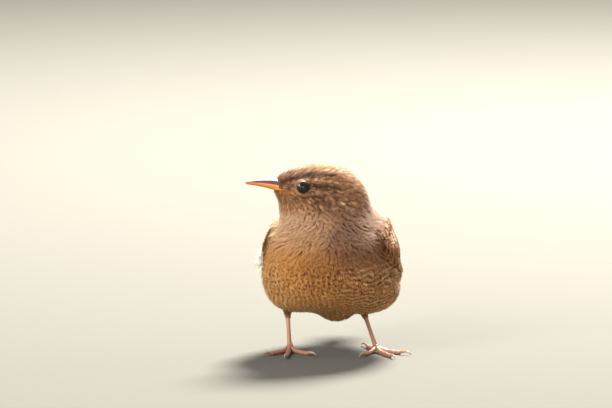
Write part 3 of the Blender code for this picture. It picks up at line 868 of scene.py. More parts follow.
def read_sheet(sheet, along, across):
    """Reads a sheet's grids between their lines, at shares along and across."""
    rows, columns = sheet[0].shape[:2]
    r = np.clip(along, 0, 1) * (rows - 1)
    c = (np.clip(across, -1, 1) + 1) / 2 * (columns - 1)
    r0 = np.clip(r.astype(int), 0, rows - 2)
    c0 = np.clip(c.astype(int), 0, columns - 2)
    fr, fc = (r - r0)[..., None], (c - c0)[..., None]
    out = []
    for grid in sheet:
        top = grid[r0, c0] * (1 - fc) + grid[r0, c0 + 1] * fc
        bottom = grid[r0 + 1, c0] * (1 - fc) + grid[r0 + 1, c0 + 1] * fc
        out.append(top * (1 - fr) + bottom * fr)
    return out


def wing_rise(side):
    """How far the feathered face of the wing stands out from the plumage beneath it."""
    along, across, y, z = wing_grid()
    stand = np.maximum(FACE_SHARE * wing_thickness(along, across), UPPER_STAND * smooth(-0.2, 0.4, across))
    rise = wing_bed(side, y, z) - plumage_half_width(side, y, z) + stand
    return np.clip(rise, 0, 3 * MM)[..., None]


WING_RISE = {side: wing_rise(side) for side in SIDES.values()}


def over_wing(points):
    """How much the coat is raised where it runs over a folded wing, and how far inside the bare part of the
    wing each point is, in metres."""
    x, back, z = (value * MM for value in in_body(points))
    along, edge, behind, across = wing_place(back, z)
    beside = smooth(6 * MM, 11 * MM, np.abs(x))
    left, right = (read_sheet([rise], along, across)[0][..., 0] for rise in WING_RISE.values())
    rise = np.where(x > 0, left, right)
    end = smooth(1.02, 0.96, along)
    cover = rise * smooth(-1.6 * MM, 0.5 * MM, edge) * smooth(-4.0 * MM, 1.5 * MM, behind) * end * beside
    return cover, np.where(beside > 0, bare_depth(along, edge, behind, across), -10 * MM)


# Coat


def scatter(surface, spacing, keep):
    """Roots spread over a grid surface so that no two are closer than the spacing there. Returns their places
    and their shares of the grid. Candidates are drawn by area, then each one kept removes its neighbours."""
    rows, columns = surface.shape[:2]
    a = surface[1:, :-1] - surface[:-1, :-1]
    b = surface[:-1, 1:] - surface[:-1, :-1]
    middle = (surface[1:, 1:] + surface[:-1, :-1]) / 2
    area = np.linalg.norm(np.cross(a, b), axis=-1)
    weight = (area / (spacing(middle) * MM) ** 2 * keep(middle)).ravel()
    drawn = rng.choice(len(weight), int(5 * weight.sum()), p=weight / weight.sum())
    row, column = np.divmod(drawn, columns - 1)
    fr, fc = rng.random((2, len(drawn), 1))
    places = (
        surface[row, column] * (1 - fr) * (1 - fc)
        + surface[row + 1, column] * fr * (1 - fc)
        + surface[row, column + 1] * (1 - fr) * fc
        + surface[row + 1, column + 1] * fr * fc
    )
    share = np.stack([(column + fc[:, 0]) / (columns - 1), (row + fr[:, 0]) / (rows - 1)], -1)
    tree = KDTree(len(places))
    for number, place in enumerate(places):
        tree.insert(place, number)
    tree.balance()
    reach = spacing(places) * MM
    free = np.ones(len(places), bool)
    kept = []
    for number in range(len(places)):
        if free[number]:
            kept.append(number)
            free[[found[1] for found in tree.find_range(places[number], reach[number])]] = False
    return places[kept], share[kept]


def barb_ends(barbs):
    """Where the barbs of one side leave the shaft and where they end, as shares of the feather's length, and
    how far out they end, as a share of its half width: the ends trace an oval that closes at the tip."""
    step = np.linspace(0, 1, barbs)
    base = 0.04 + 0.66 * step
    tip = 0.40 + 0.60 * step**0.85
    oval = np.sqrt(1 - (np.clip(tip - 0.62, 0, 1) / 0.46) ** 2) * (0.75 + 0.25 * smooth(0.40, 0.62, tip))
    return base, tip, oval * (1 - 0.95 * step**9)


def barbed_feathers(spine, normals, length, half_width, bend, barbs, fray, barb_width, fluff):
    """Feathers as rows of barbs on both sides of a spine. spine and normals are (feathers, stations, 3). A
    barb leaves the spine at a slant, curves towards the tip and ends in a point on the feather's oval
    outline; barbs cling in locks of three that share a tone and a lift. Returns points, polygons, each
    point's place along and across, the barb's tone, and the feathers laid flat in a unit square."""
    count = len(spine)
    shape = (count, 2 * barbs)
    way = np.repeat((-1.0, 1.0), barbs)
    base, tip, oval = (np.tile(part, 2) for part in barb_ends(barbs))
    lock = np.concatenate([np.arange(barbs) // 3, np.arange(barbs) // 3 + (barbs + 2) // 3])
    locks = lock.max() + 1
    loose = 0.6 * rng.normal(0, 1, (3, *shape)) + 0.8 * rng.normal(0, 1, (3, count, locks))[..., lock]
    base = base + 0.012 * rng.normal(0, 1, shape)
    tip = tip + fray * loose[1] * (0.3 + 0.7 * tip)
    aside = way * oval * (1 + 0.8 * fray * loose[2])
    shaft = 0 * tip
    run = (tip - base) * length[:, None]
    rise = aside * half_width[:, None]
    reach = np.sqrt(run**2 + rise**2) + 1e-9
    half = 0.5 * barb_width[:, None] * way
    shift_along = rise / reach * half / length[:, None]
    shift_across = run / reach * half / half_width[:, None]
    foot = np.abs(half) * 1.4 / length[:, None]
    mid = base + 0.48 * (tip - base)
    along = np.stack([base - foot, base + foot, mid + shift_along, mid - shift_along, tip], -1)
    across = [shaft, shaft, 0.60 * aside - shift_across, 0.60 * aside + shift_across, aside]
    across = np.stack(across, -1)
    share_along = np.stack([base, base, mid, mid, tip], -1).reshape(count, -1)
    share_across = np.stack([shaft, shaft, 0.6 * aside, 0.6 * aside, aside], -1).reshape(count, -1)
    flat = along.reshape(count, -1)
    side_way = unit(np.cross(np.gradient(spine, axis=1), normals))
    place = at(spine, flat)
    up = unit(at(normals, np.clip(flat, 0, 1)))
    out = unit(at(side_way, np.clip(flat, 0, 1)))
    off = (across * half_width[:, None, None]).reshape(count, -1)
    lift = loose[0][..., None] * fluff[:, None, None] * np.array((0, 0, 0.35, 0.35, 1.0))
    lift = lift.reshape(count, -1) - off**2 / (2 * bend[:, None])
    points = place + out * off[..., None] + up * lift[..., None]
    number = np.arange(count * 2 * barbs) * 5
    right = np.tile(way > 0, count)
    quad = number[:, None] + np.array((0, 2, 3, 1))
    tri = number[:, None] + np.array((2, 4, 3))
    quad[right] = quad[right][:, ::-1]
    tri[right] = tri[right][:, ::-1]
    tone = 0.4 * rng.random(shape) + 0.6 * rng.random((count, locks))[:, lock]
    tone = np.repeat(tone, 5, axis=1)
    layout = np.stack([across / 2 + 0.5, along], -1).reshape(count, -1, 2)
    return points, [quad, tri], share_along, share_across, tone, layout


def spines(roots, length, depth, lift, stations=6):
    """Each spine starts below the surface, follows the lie, and rises to the feather tip's level."""
    point, normal = settle(roots, -depth)
    points, normals = [point], [normal]
    step = (length / (stations - 1))[:, None]
    way = lie(point, normal)
    sway = rng.normal(0, 0.11, len(roots))[:, None] * np.cross(normal, way)
    for k in range(1, stations):
        share = k / (stations - 1)
        way = unit(lie(point, normal) + sway)
        level = -depth * (1 - share) ** 1.6 + lift * share**2 + over_wing(point)[0]
        point, normal = settle(point + way * step, level, 1)
        points.append(point)
        normals.append(normal)
    return np.stack(points, 1), np.stack(normals, 1)


def clear_of_eye(spine):
    """The share of its length that each feather may keep without crossing the eye opening."""
    covers = (from_eye(spine) < EYE_OPENING / MM + 0.18) & (np.abs(in_head(spine)[0]) > 3)
    first = np.where(covers.any(1), covers.argmax(1), spine.shape[1]) / spine.shape[1]
    return np.clip(first, 0, 1)


def coat(name, surface, keep, barbs, paint, lift=0.07, fluff=0.10):
    """One region of the coat: feathers at scattered roots, sized, marked and toned by their place."""
    roots, share = scatter(surface, feather_size, keep)
    size = feather_size(roots) * MM
    length = FEATHER_LONG * size * rng.uniform(0.86, 1.14, len(roots))
    raised = size * (0.10 + lift * rng.normal(0.5, 0.7, len(roots)))
    raised = raised + 0.25 * MM * smooth(4, 7, in_head(roots)[2])
    spine, normals = spines(roots, length, coat_depth(roots), raised)
    room = clear_of_eye(spine)
    good = room > 0.3
    spine, normals, roots, share, size, length, room = (
        part[good] for part in (spine, normals, roots, share, size, length, room)
    )
    stations = np.linspace(0, 1, spine.shape[1])[None, :] * room[:, None]
    spine, normals = at(spine, stations), unit(at(normals, stations))
    length = length * room
    half_width = FEATHER_WIDE * size * rng.uniform(0.9, 1.1, len(roots)) * (0.4 + 0.6 * room)
    bend = (18 - 10 * smooth(38, 48, roots[:, 2] / MM)) * MM
    barb_width = BARB_WIDE * length / barbs
    points, polygons, along, across, barb, layout = barbed_feathers(
        spine, normals, length, half_width, bend, barbs, FEATHER_FRAY, barb_width, fluff * size
    )
    tones, contrast = markings(spine[:, -1])
    zone = np.repeat(tones[:, None], along.shape[1], 1)
    own = rng.normal(0, 0.42, len(roots)).clip(-0.8, 0.8)
    zone[..., 0] += (contrast * own)[:, None] + (0.20 + 0.4 * contrast[:, None]) * (barb - 0.5)
    zone[..., 0] -= 0.62 * (1 + 0.9 * own[:, None]) * cross_bars(points)
    chosen = rng.random(len(roots)) < 0.55 + 0.4 * tones[:, 3]
    zone[..., 2] *= np.where(chosen, rng.uniform(0.6, 1.2, len(roots)), 0.15)[:, None]
    uv = feather_patch(trunk_place(share), layout)
    zone = zone.clip(0, 1).reshape(-1, 4)
    vane = four(along, across / 2 + 0.5, barb)
    piece = make_piece(name, points, polygons, paint, uv, False, zone=zone, vane=vane)
    finish_piece(piece, "body_plumage")


def coat_depth(points):
    """Depth of the coat over the skin: thin on the face and thinnest at the eye, deep on the trunk."""
    at_eye = smooth(3.4, 1.9, from_eye(points)) * beside_head(points, 2.5, 4.5)
    head = 0.75 - 0.35 * smooth(3, 10, in_head(points)[1])
    head = head + (0.06 - head) * at_eye
    return (1.5 - (1.5 - head) * smooth(38, 47, points[..., 2] / MM)) * MM


def skin_depth(points):
    """The coat's depth, and more in the eye socket, where the skin passes under the lid."""
    socket = smooth(2.30, 1.95, from_eye(points)) * beside_head(points, 2.5, 4.5)
    return coat_depth(points) + 0.40 * MM * socket


def thigh_cone(side_name, rings, spokes, under=0.0):
    """Feathered thigh as a cone round the leg's line from inside the belly to above the bare shank, drawn in
    by a depth. Returns points and outward normals."""
    top, foot = ANKLE[side_name], TOE_JOINT[side_name]
    share = np.linspace(-0.10, THIGH_SHARE + 0.03, rings)[:, None, None]
    angle = circle(spokes)[..., None]
    way = unit(foot - top)
    first = unit(np.cross(way, np.array((1.0, 0, 0))))
    second = np.cross(way, first)
    out = np.cos(angle) * first + np.sin(angle) * second
    part = np.clip(share / THIGH_SHARE, 0, 1.1)
    radius = THIGH_TOP_R + (THIGH_END_R - THIGH_TOP_R) * part**0.7 - under
    radius = np.maximum(radius, 0.45 * MM)
    return top + (foot - top) * share + out * radius, np.broadcast_to(out, (rings, spokes, 3))


def make_skin():
    """One skin for head, neck, trunk and thighs, the coat's depth inside the feather tips."""
    points = plumage_grid(150, 150, skin_depth)
    rows, columns = points.shape[:2]
    share = np.stack(np.meshgrid(np.linspace(0, 1, columns), np.linspace(0, 1, rows)), -1).reshape(-1, 2)
    parts, places, fours, threes = [points.reshape(-1, 3)], [trunk_place(share)], [quads(rows, columns)], []
    start = rows * columns
    for side_name in SIDES:
        cone, _ = thigh_cone(side_name, THIGH_RINGS, THIGH_SPOKES, 0.6 * MM)
        turn, down = np.meshgrid(np.arange(THIGH_SPOKES) / THIGH_SPOKES, np.arange(THIGH_RINGS) / THIGH_RINGS)
        place = thigh_place(side_name, turn, down)
        parts += [cone.reshape(-1, 3), cone[0].mean(0)[None], cone[-1].mean(0)[None]]
        places += [place.reshape(-1, 2), place[0, :1], place[-1, :1]]
        four_sided, three_sided = tube_faces(THIGH_RINGS, THIGH_SPOKES, start)
        fours.append(four_sided)
        threes.append(three_sided)
        start += THIGH_RINGS * THIGH_SPOKES + 2
    points = np.concatenate(parts)
    zone, _ = markings(points)
    # painted shade: the skin is a step darker than the coat's ground, as the shade beneath the feathers
    zone[:, 0] -= 0.12
    faces = [np.concatenate(fours), np.concatenate(threes)]
    piece = make_piece("skin", points, faces, skin_paint(), np.concatenate(places), zone=zone.clip(0, 1))
    finish_piece(piece, "body_plumage", "head", "neck", "trunk", "thigh_left", "thigh_right")


def make_thigh_coat(side_name, paint):
    """Short feathers lying down the thigh, drawn in over the top of the bare shank."""
    rings, spokes, stations = 8, 15, 6
    rows, columns = 30, 90
    grid, normal = thigh_cone(side_name, rows, columns)
    share, turn = np.meshgrid(np.linspace(0.05, 0.80, rings), np.arange(spokes) / spokes, indexing="ij")
    share = (share + rng.uniform(-0.05, 0.05, share.shape)).ravel().clip(0, 0.85)
    turn = (turn + rng.uniform(0, 1, (rings, 1)) + rng.uniform(-0.02, 0.02, turn.shape)).ravel() % 1
    count = len(share)
    long = rng.uniform(0.28, 0.42, count)
    steps = np.linspace(0, 1, stations)[None, :]
    reach = share[:, None] + long[:, None] * steps
    row = np.clip(reach * (rows - 1), 0, rows - 1).astype(int)
    column = np.broadcast_to((turn * columns).astype(int)[:, None] % columns, row.shape)
    extra = np.clip(reach - 1, 0, 1)[..., None]
    down = unit(TOE_JOINT[side_name] - ANKLE[side_name])
    normals = normal[row, column]
    level = (-0.7 * (1 - steps) ** 1.5 + 0.15 * steps)[..., None] * MM
    spine = grid[row, column] + normals * (level - 1.6 * MM * extra) + down * extra * 6.0 * MM
    length = spine_length(spine)
    half_width, bend, fluff = (np.full(count, size * MM) for size in (0.55, 3, 0.10))
    points, polygons, along, across, barb, layout = barbed_feathers(
        spine, normals, length, half_width, bend, 14, 0.10, 0.025 * length, fluff
    )
    light = 0.52 + 0.25 * (barb - 0.5) + 0.08 * rng.normal(0, 1, (count, 1))
    zone = four(light, 0.3, 0.35, 0.3).clip(0, 1)
    vane = four(along, across / 2 + 0.5, barb)
    uv = feather_patch(thigh_place(side_name, turn, share), layout)
    piece = make_piece(f"coat_thigh_{side_name}", points, polygons, paint, uv, False, zone=zone, vane=vane)
    finish_piece(piece, "body_plumage")


def make_tuft(surface, paint):
    """White down that sticks out between the right wing and the flank."""
    count, stations = 190, 6
    reach = ((-21.0, -18.5), (-8.0, 0.0), (26.3, 31.5))
    place = np.stack([rng.uniform(low, high, count) for low, high in reach], -1)
    roots, normal = settle(place * MM @ TO_BODY.T, -0.1 * MM)
    rows, columns = surface.shape[:2]
    nearest = np.linalg.norm(surface.reshape(1, -1, 3) - roots[:, None], axis=-1).argmin(1)
    row, column = np.divmod(nearest, columns)
    share = np.stack([column / (columns - 1), row / (rows - 1)], -1)
    way = unit(normal * 0.65 + np.array((-0.3, -0.2, -0.40)) + rng.normal(0, 0.36, (count, 3)))
    length = rng.uniform(1.3, 2.6, count) * MM
    step = np.linspace(0, 1, stations)[None, :, None]
    spine = roots[:, None] + (way[:, None] * step - 0.2 * UPWARD * step**2) * length[:, None, None]
    normals = unit(np.repeat(normal[:, None], stations, 1) + 0.6 * rng.normal(0, 1, (count, 1, 3)))
    bend, fluff = np.full(count, 20 * MM), np.full(count, 0.4 * MM)
    points, polygons, along, _, barb, layout = barbed_feathers(
        spine, normals, length, 0.30 * length, bend, 14, 0.14, 0.035 * length, fluff
    )
    uv = feather_patch(trunk_place(share), layout)
    piece = make_piece("down_tuft", points, polygons, paint, uv, False, down=four(barb))
    finish_piece(piece, "body_plumage")


def make_coat(surface):
    """All regions of the coat, told by height and by how far ahead or back they lie."""
    plumage = feather_paint("plumage")

    def outside(points):
        """Neither under a wing nor where the bill leaves the face."""
        _, inside = over_wing(points)
        side, ahead, up = in_head(points)
        bill = (ahead > 11.0) & (np.abs(side) < 2.2) & (up > 1.6) & (up < 4.6)
        gape = (ahead > 11.2) & (np.abs(up - 2.2 - 0.35 * (ahead - 11.2)) < 0.25 * (ahead - 11.0))
        eye = (from_eye(points) < EYE_OPENING / MM + 0.16) & (np.abs(side) > 3)
        return (inside < 1.0 * MM) & ~bill & ~gape & ~eye

    def between(low, high, test=lambda points: True):
        """A test of place: from low to high in mm, and where the further test holds."""
        def keep(points):
            z = points[..., 2] / MM
            return (z >= low) & (z < high) & outside(points) & test(points)

        return keep

    def ahead(points):
        return in_head(points)[1]

    def back(points):
        return in_body(points)[1]

    coat("coat_face", surface, between(45.5, 70, lambda p: ahead(p) > 2), 8, plumage)
    coat("coat_crown", surface, between(45.5, 70, lambda p: ahead(p) <= 2), 10, plumage)
    coat("coat_neck", surface, between(38.5, 45.5), 16, plumage, lift=0.05, fluff=0.07)
    coat("coat_breast", surface, between(26, 38.5, lambda p: back(p) < 3), 19, plumage, fluff=0.08)
    coat("coat_belly", surface, between(0, 26, lambda p: back(p) < 5), 21, plumage, fluff=0.08)
    coat("coat_back", surface, between(26, 38.5, lambda p: back(p) >= 3), 20, plumage)
    coat("coat_vent", surface, between(0, 26, lambda p: back(p) >= 5), 20, plumage, fluff=0.14)
    for side_name in SIDES:
        make_thigh_coat(side_name, plumage)
    make_tuft(surface, down_paint())


def down_paint():
    """Nearly white, a little warmer in some barbs."""
    paint = Paint("white_down", 0.8, Specular_IOR_Level=0.1, Sheen_Weight=0.3)
    barb = paint.attribute("down")[0]
    paint.colour(paint.ramp(barb, (0.0, (0.84, 0.79, 0.70)), (1.0, (0.97, 0.95, 0.90))))
    return paint.material


# Eyes


def eye_surface(side, angle, around, radius):
    """Points round an eye's middle: angle is from its axis, around is about it."""
    local = (
        side * radius * np.cos(angle),
        radius * np.sin(angle) * np.cos(around),
        radius * np.sin(angle) * np.sin(around),
    )
    middle = head_point(side * (EYE_SIDE - EYE_SINK), EYE_AHEAD, EYE_UP)
    return middle + np.stack(np.broadcast_arrays(*local), -1) @ TO_HEAD.T


def eye_faces(side, rows, columns):
    """Faces of a grid round the eye, facing away from its middle."""
    faces = quads(rows, columns, loop=True)
    return faces if side > 0 else faces[:, ::-1]


def make_eye(side_name, side):
    """A ball with a slight bulge over the opening; the pupil is a shade darker than the iris."""
    rows, columns = 49, 72
    polar = np.linspace(0, math.pi, rows)[:, None]
    around = circle(columns)
    radius = EYE_R * (1 + EYE_BULGE * hill(polar, 0, 0.5))
    points = eye_surface(side, polar, around, radius)
    facing = np.clip(np.cos(polar) * np.ones_like(around), 0, 1)
    paint = Paint(f"eye_{side_name}", 0.05, Specular_IOR_Level=0.5)
    view = paint.attribute("facing")[0]
    iris = ((0.70, (0.010, 0.008, 0.009)), (0.84, (0.012, 0.009, 0.010)), (0.89, (0.002, 0.003, 0.006)))
    paint.colour(paint.ramp(view, *iris))
    faces = eye_faces(side, rows, columns)
    piece = make_piece(f"eyeball_{side_name}", points, [faces], paint.material, facing=four(facing))
    finish_piece(piece, "eye", f"eye_{side_name}")


def eye_opening(around):
    """Reach of the lids' edge from the eye's middle: an oval, lower than long, a little pointed at its
    corners."""
    return EYE_OPENING * (1 - 0.10 * np.sin(around) ** 2 + 0.04 * np.abs(np.cos(around)) ** 12)


def make_lid(side_name, side, paint):
    """Eyelid as a thin shell over the ball, from the oval opening back to where it runs under the skin: its
    edge rises in a small roll, told by the angle from the eye's axis."""
    rows, columns = 22, 80
    share = np.linspace(0, 1, rows)[:, None]
    around = circle(columns)
    first = np.arcsin(eye_opening(around) / EYE_R)
    angle = first + (LID_BACK - first) * share
    rise = (0.01 + 0.10 * hill(share, 0.13, 0.12) + 0.05 * smooth(0, 0.25, share)) * MM
    points = eye_surface(side, angle, around, EYE_R + rise)
    rim = four(np.broadcast_to(share, (rows, columns)))
    piece = make_piece(f"eyelid_{side_name}", points, [eye_faces(side, rows, columns)], paint, lid=rim)
    finish_piece(piece, "body_plumage")


def lid_paint():
    """Dark at the wet edge, then the buff of the ring round the eye."""
    paint = Paint("eyelid", 0.55, Specular_IOR_Level=0.35)
    rim = paint.attribute("lid")[0]
    edge = ((0.0, (0.018, 0.012, 0.010)), (0.10, (0.040, 0.025, 0.018)))
    skin = ((0.20, (0.17, 0.105, 0.062)), (0.8, (0.20, 0.12, 0.068)))
    paint.colour(paint.ramp(rim, *edge, *skin))
    paint.bump(paint.noise(5000.0), 0.00004)
    return paint.material


# Bill


def seam_up(share):
    """Height of the line between the mandibles, from the gape (0) to the tip (1): it rises and levels off."""
    return BILL_GAPE_UP + SEAM_RISE * share - SEAM_BEND * share**2


def mandible(name, node, way, paint, slot, rows=90, columns=41):
    """Half ovals along the seam: way is 1 for the upper mandible, with its ridge, nostrils and overhanging
    edge, and -1 for the lower one, whose edges flare into the gape."""
    upper = way > 0
    share = np.linspace(0, 1, rows)[:, None] ** 0.95
    turn = np.linspace(0, math.pi, columns)[None, :]
    taper = (1 - share) ** 0.75
    sine = np.sin(turn) ** 0.9
    flare = (UPPER_FLARE if upper else LOWER_FLARE) * smooth(0.36, 0.12, share) * (1 - 0.7 * sine)
    half_width = BILL_TIP_R + (BILL_WIDTH / 2 - BILL_TIP_R) * taper + flare
    depth = (UPPER_DEPTH * (1 - share) ** 0.95 if upper else LOWER_DEPTH * taper) + BILL_TIP_R
    blunt = np.sqrt(1 - np.clip((share - 0.97) / 0.03, 0, 1) ** 2)
    x = half_width * blunt * np.cos(turn) * (0.96 + 0.04 * np.cos(turn) ** 2)
    ridge = 0.06 * hill(turn, math.pi / 2, 0.28) if upper else 0
    z = depth * blunt * (0.96 * sine + ridge)
    if upper:
        slits = hill(turn, NOSTRIL_TURN, 0.16) + hill(turn, math.pi - NOSTRIL_TURN, 0.16)
        nostrils = hill(share, NOSTRIL_AT, 0.055) * slits
        x = x * (1 - 0.22 * nostrils)
        z = z - NOSTRIL_DEPTH * nostrils
    z = seam_up(share) + way * BILL_GAP / 2 + way * z
    y = np.broadcast_to(-(BILL_BASE_AHEAD + BILL_LENGTH * share), x.shape)
    points = np.stack([x, y, z], -1)
    loop = np.concatenate([points, points[:, :1]], axis=1)
    width = columns + 1
    flat = np.concatenate([loop.reshape(-1, 3), [points[0].mean(0), points[-1].mean(0)]])
    faces = quads(rows, width)
    step = np.arange(width - 1)
    last = (rows - 1) * width
    first = np.stack([step + 1, step, np.full(width - 1, rows * width)], -1)
    end = np.stack([last + step, last + step + 1, np.full(width - 1, rows * width + 1)], -1)
    polygons = [faces, first, end]
    if not upper:
        polygons = [part[:, ::-1] for part in polygons]
    places = np.concatenate([np.repeat(share[:, 0], width), [0, 1]])
    heights = np.concatenate([np.tile(np.append(np.sin(turn[0]), 0), rows), [0, 0]])
    u, v = np.meshgrid(np.linspace(0.02, 0.98, width), np.linspace(0.02, 0.98, rows))
    uv = np.concatenate([np.stack([u, v], -1).reshape(-1, 2), [[0.01, 0.01], [0.99, 0.99]]])
    piece = make_piece(name, HEAD_AT + flat @ TO_HEAD.T, polygons, paint, uv, horn=four(places, heights))
    finish_piece(piece, slot, node)


def bill_paints():
    """Upper mandible: purplish dark horn with a painted highlight along its ridge, and orange along its edge.
    Lower: clear orange, yellow at the gape. Both end in a reddish tip."""
    upper = Paint("bill_upper_horn", 0.26, Specular_IOR_Level=0.6, Coat_Weight=0.4, Coat_Roughness=0.15)
    share, height, _, _ = upper.attribute("horn")
    base = ((0.0, (0.13, 0.058, 0.048)), (0.30, (0.105, 0.053, 0.080)))
    tip = ((0.75, (0.105, 0.043, 0.068)), (1.0, (0.60, 0.15, 0.05)))
    # painted highlight: the ridge of the upper mandible turns pale, as where light catches it
    ridge = upper.range(height, 0.93, 0.995)
    horn = upper.mix(upper.calc("MULTIPLY", ridge, 0.75), upper.ramp(share, *base, *tip), (0.60, 0.50, 0.46))
    edge = upper.range(height, 0.42, 0.14)
    orange = ((0.0, (0.70, 0.31, 0.05)), (0.5, (0.70, 0.24, 0.04)), (1.0, (0.62, 0.13, 0.045)))
    upper.colour(upper.mix(edge, horn, upper.ramp(share, *orange)))
    upper.bump(upper.noise(1500.0, 2.0, (1, 1, 4)), 0.00003)
    soft = {"Subsurface_Weight": 0.15, "Subsurface_Scale": 0.001}
    lower = Paint(
        "bill_lower_horn", 0.30, Specular_IOR_Level=0.55, Coat_Weight=0.3, Coat_Roughness=0.2, **soft
    )
    share = lower.attribute("horn")[0]
    gape = ((0.0, (0.74, 0.36, 0.05)), (0.35, (0.71, 0.26, 0.02)))
    tip = ((0.85, (0.68, 0.19, 0.016)), (1.0, (0.58, 0.11, 0.028)))
    lower.colour(lower.ramp(share, *gape, *tip))
    lower.bump(lower.noise(1500.0, 2.0, (1, 1, 4)), 0.00003)
    return upper.material, lower.material


# Legs, toes and claws


def toe_way(side_name, toe_name):
    """Level direction in which a toe points."""
    turn = math.radians(SIDES[side_name] * TOES[toe_name][1] + FOOT_TURN[side_name])
    return np.array((math.sin(turn), -math.cos(turn), 0.0))


def toe_line(side_name, toe_name, reach):
    """The middle of a toe: it drops from the toe joint to lie on the floor."""
    joint = TOE_JOINT[side_name]
    flat = TOE_R - 0.12 * MM
    height = flat + (joint[2] - flat) * hill(reach, 0, 2.2 * MM)
    return joint * LEVEL + toe_way(side_name, toe_name) * reach[:, None] + UPWARD * height[:, None]


def tube(path, radii, sides, flatten=1.0):
    """Rings round a path, (stations, sides, 3)."""
    tangents = unit(np.gradient(path, axis=0))
    across = np.cross(tangents, UPWARD)
    steep = np.linalg.norm(across, axis=1) < 0.2
    across[steep] = np.array((1.0, 0, 0))
    across = unit(across)
    over = np.cross(across, tangents)
    angle = circle(sides)[..., None]
    ring = np.cos(angle) * across[:, None] * flatten + np.sin(angle) * over[:, None]
    return path[:, None] + ring * radii[:, None, None]


def tube_faces(stations, sides, start=0):
    """Side faces and both end fans of a closed tube whose two end centres follow its rings."""
    faces = quads(stations, sides, loop=True)[:, ::-1] + start
    ring = np.arange(sides)
    after = (ring + 1) % sides
    centre = start + stations * sides
    last = start + (stations - 1) * sides
    near = np.stack([ring + start, after + start, np.full(sides, centre)], -1)
    far = np.stack([last + after, last + ring, np.full(sides, centre + 1)], -1)
    return faces, np.concatenate([near, far])


def join_tubes(tubes):
    """Points and polygons of several closed tubes in one mesh."""
    points, fours, threes, start = [], [], [], 0
    for rings in tubes:
        stations, sides = rings.shape[:2]
        four_sided, three_sided = tube_faces(stations, sides, start)
        points += [rings.reshape(-1, 3), rings[0].mean(0)[None], rings[-1].mean(0)[None]]
        fours.append(four_sided)
        threes.append(three_sided)
        start += stations * sides + 2
    return np.concatenate(points), [np.concatenate(fours), np.concatenate(threes)]


def make_leg(side_name, paint):
    """Bare leg: the shank with a row of broad scutes, the knob of the toe joint, and four toes with joints,
    scutes above and pads below."""
    shank_sides, knob_sides, toe_sides = 28, 20, 22
    top, foot = ANKLE[side_name], TOE_JOINT[side_name]
    share = np.linspace(THIGH_SHARE - 0.04, 1, 90)
    local = np.clip((share - THIGH_SHARE) / (1 - THIGH_SHARE), 0, 1)
    scute = local * SHANK_SCUTES % 1
    radii = TARSUS_R * (1 + 0.25 * (1 - local) ** 3 + 0.45 * local**4) + (0.01 - 0.05 * scute) * MM
    tubes = [tube(top + (foot - top) * share[:, None], radii, shank_sides)]
    marks = [np.repeat(scute, shank_sides)]
    knob = np.linspace(-1, 1, 14)
    round_off = 1.2 * MM * np.sqrt(1.001 - knob**2)
    tubes.append(tube(foot + 1.15 * MM * UPWARD * knob[:, None], round_off, knob_sides))
    marks.append(np.full(len(knob) * knob_sides, 0.5))
    for toe_name, (length, _) in TOES.items():
        reach = np.linspace(0, length, 80)
        part = reach / length
        scute = part * TOE_SCUTES % 1
        radii = TOE_R * (1.06 - 0.2 * part) * (1 + 0.07 * np.cos(6 * math.pi * part))
        radii = radii * np.sqrt(np.clip(1 - np.clip((part - 0.93) / 0.075, 0, 1) ** 2, 0.02, 1))
        grid = tube(toe_line(side_name, toe_name, reach), radii + (0.01 - 0.03 * scute) * MM, toe_sides)
        grid[..., 2] = np.maximum(grid[..., 2], 0)
        tubes.append(grid)
        marks.append(np.repeat(scute, toe_sides))
    points, polygons = join_tubes(tubes)
    scutes = np.concatenate([np.append(mark, [0.5, 0.5]) for mark in marks])
    height = np.clip(points[:, 2] / (12 * MM), 0, 1)
    info = four(scutes, height)
    piece = make_piece(f"leg_skin_{side_name}", points, polygons, paint, scute=info)
    names = [f"toe_{side_name}_{toe_name}" for toe_name in TOES]
    finish_piece(piece, "leg_skin", f"tarsus_{side_name}", *names)


def leg_paint():
    """Pinkish brown, redder on the toes, darker in the grooves between scutes."""
    paint = Paint("leg_skin", 0.42, Specular_IOR_Level=0.5, Subsurface_Weight=0.1, Subsurface_Scale=0.001)
    scute, height, _, _ = paint.attribute("scute")
    skin = ((0.0, (0.30, 0.145, 0.10)), (0.25, (0.34, 0.165, 0.11)), (1.0, (0.48, 0.28, 0.18)))
    groove = paint.range(scute, 0.12, 0.0)
    grain = paint.range(paint.noise(1800.0), 0.35, 0.7)
    shade = paint.mix(paint.calc("MULTIPLY", grain, 0.35), paint.ramp(height, *skin), (0.30, 0.15, 0.10))
    paint.colour(paint.mix(paint.calc("MULTIPLY", groove, 0.6), shade, (0.16, 0.08, 0.055)))
    paint.bump(paint.noise(4500.0), 0.00004)
    return paint.material


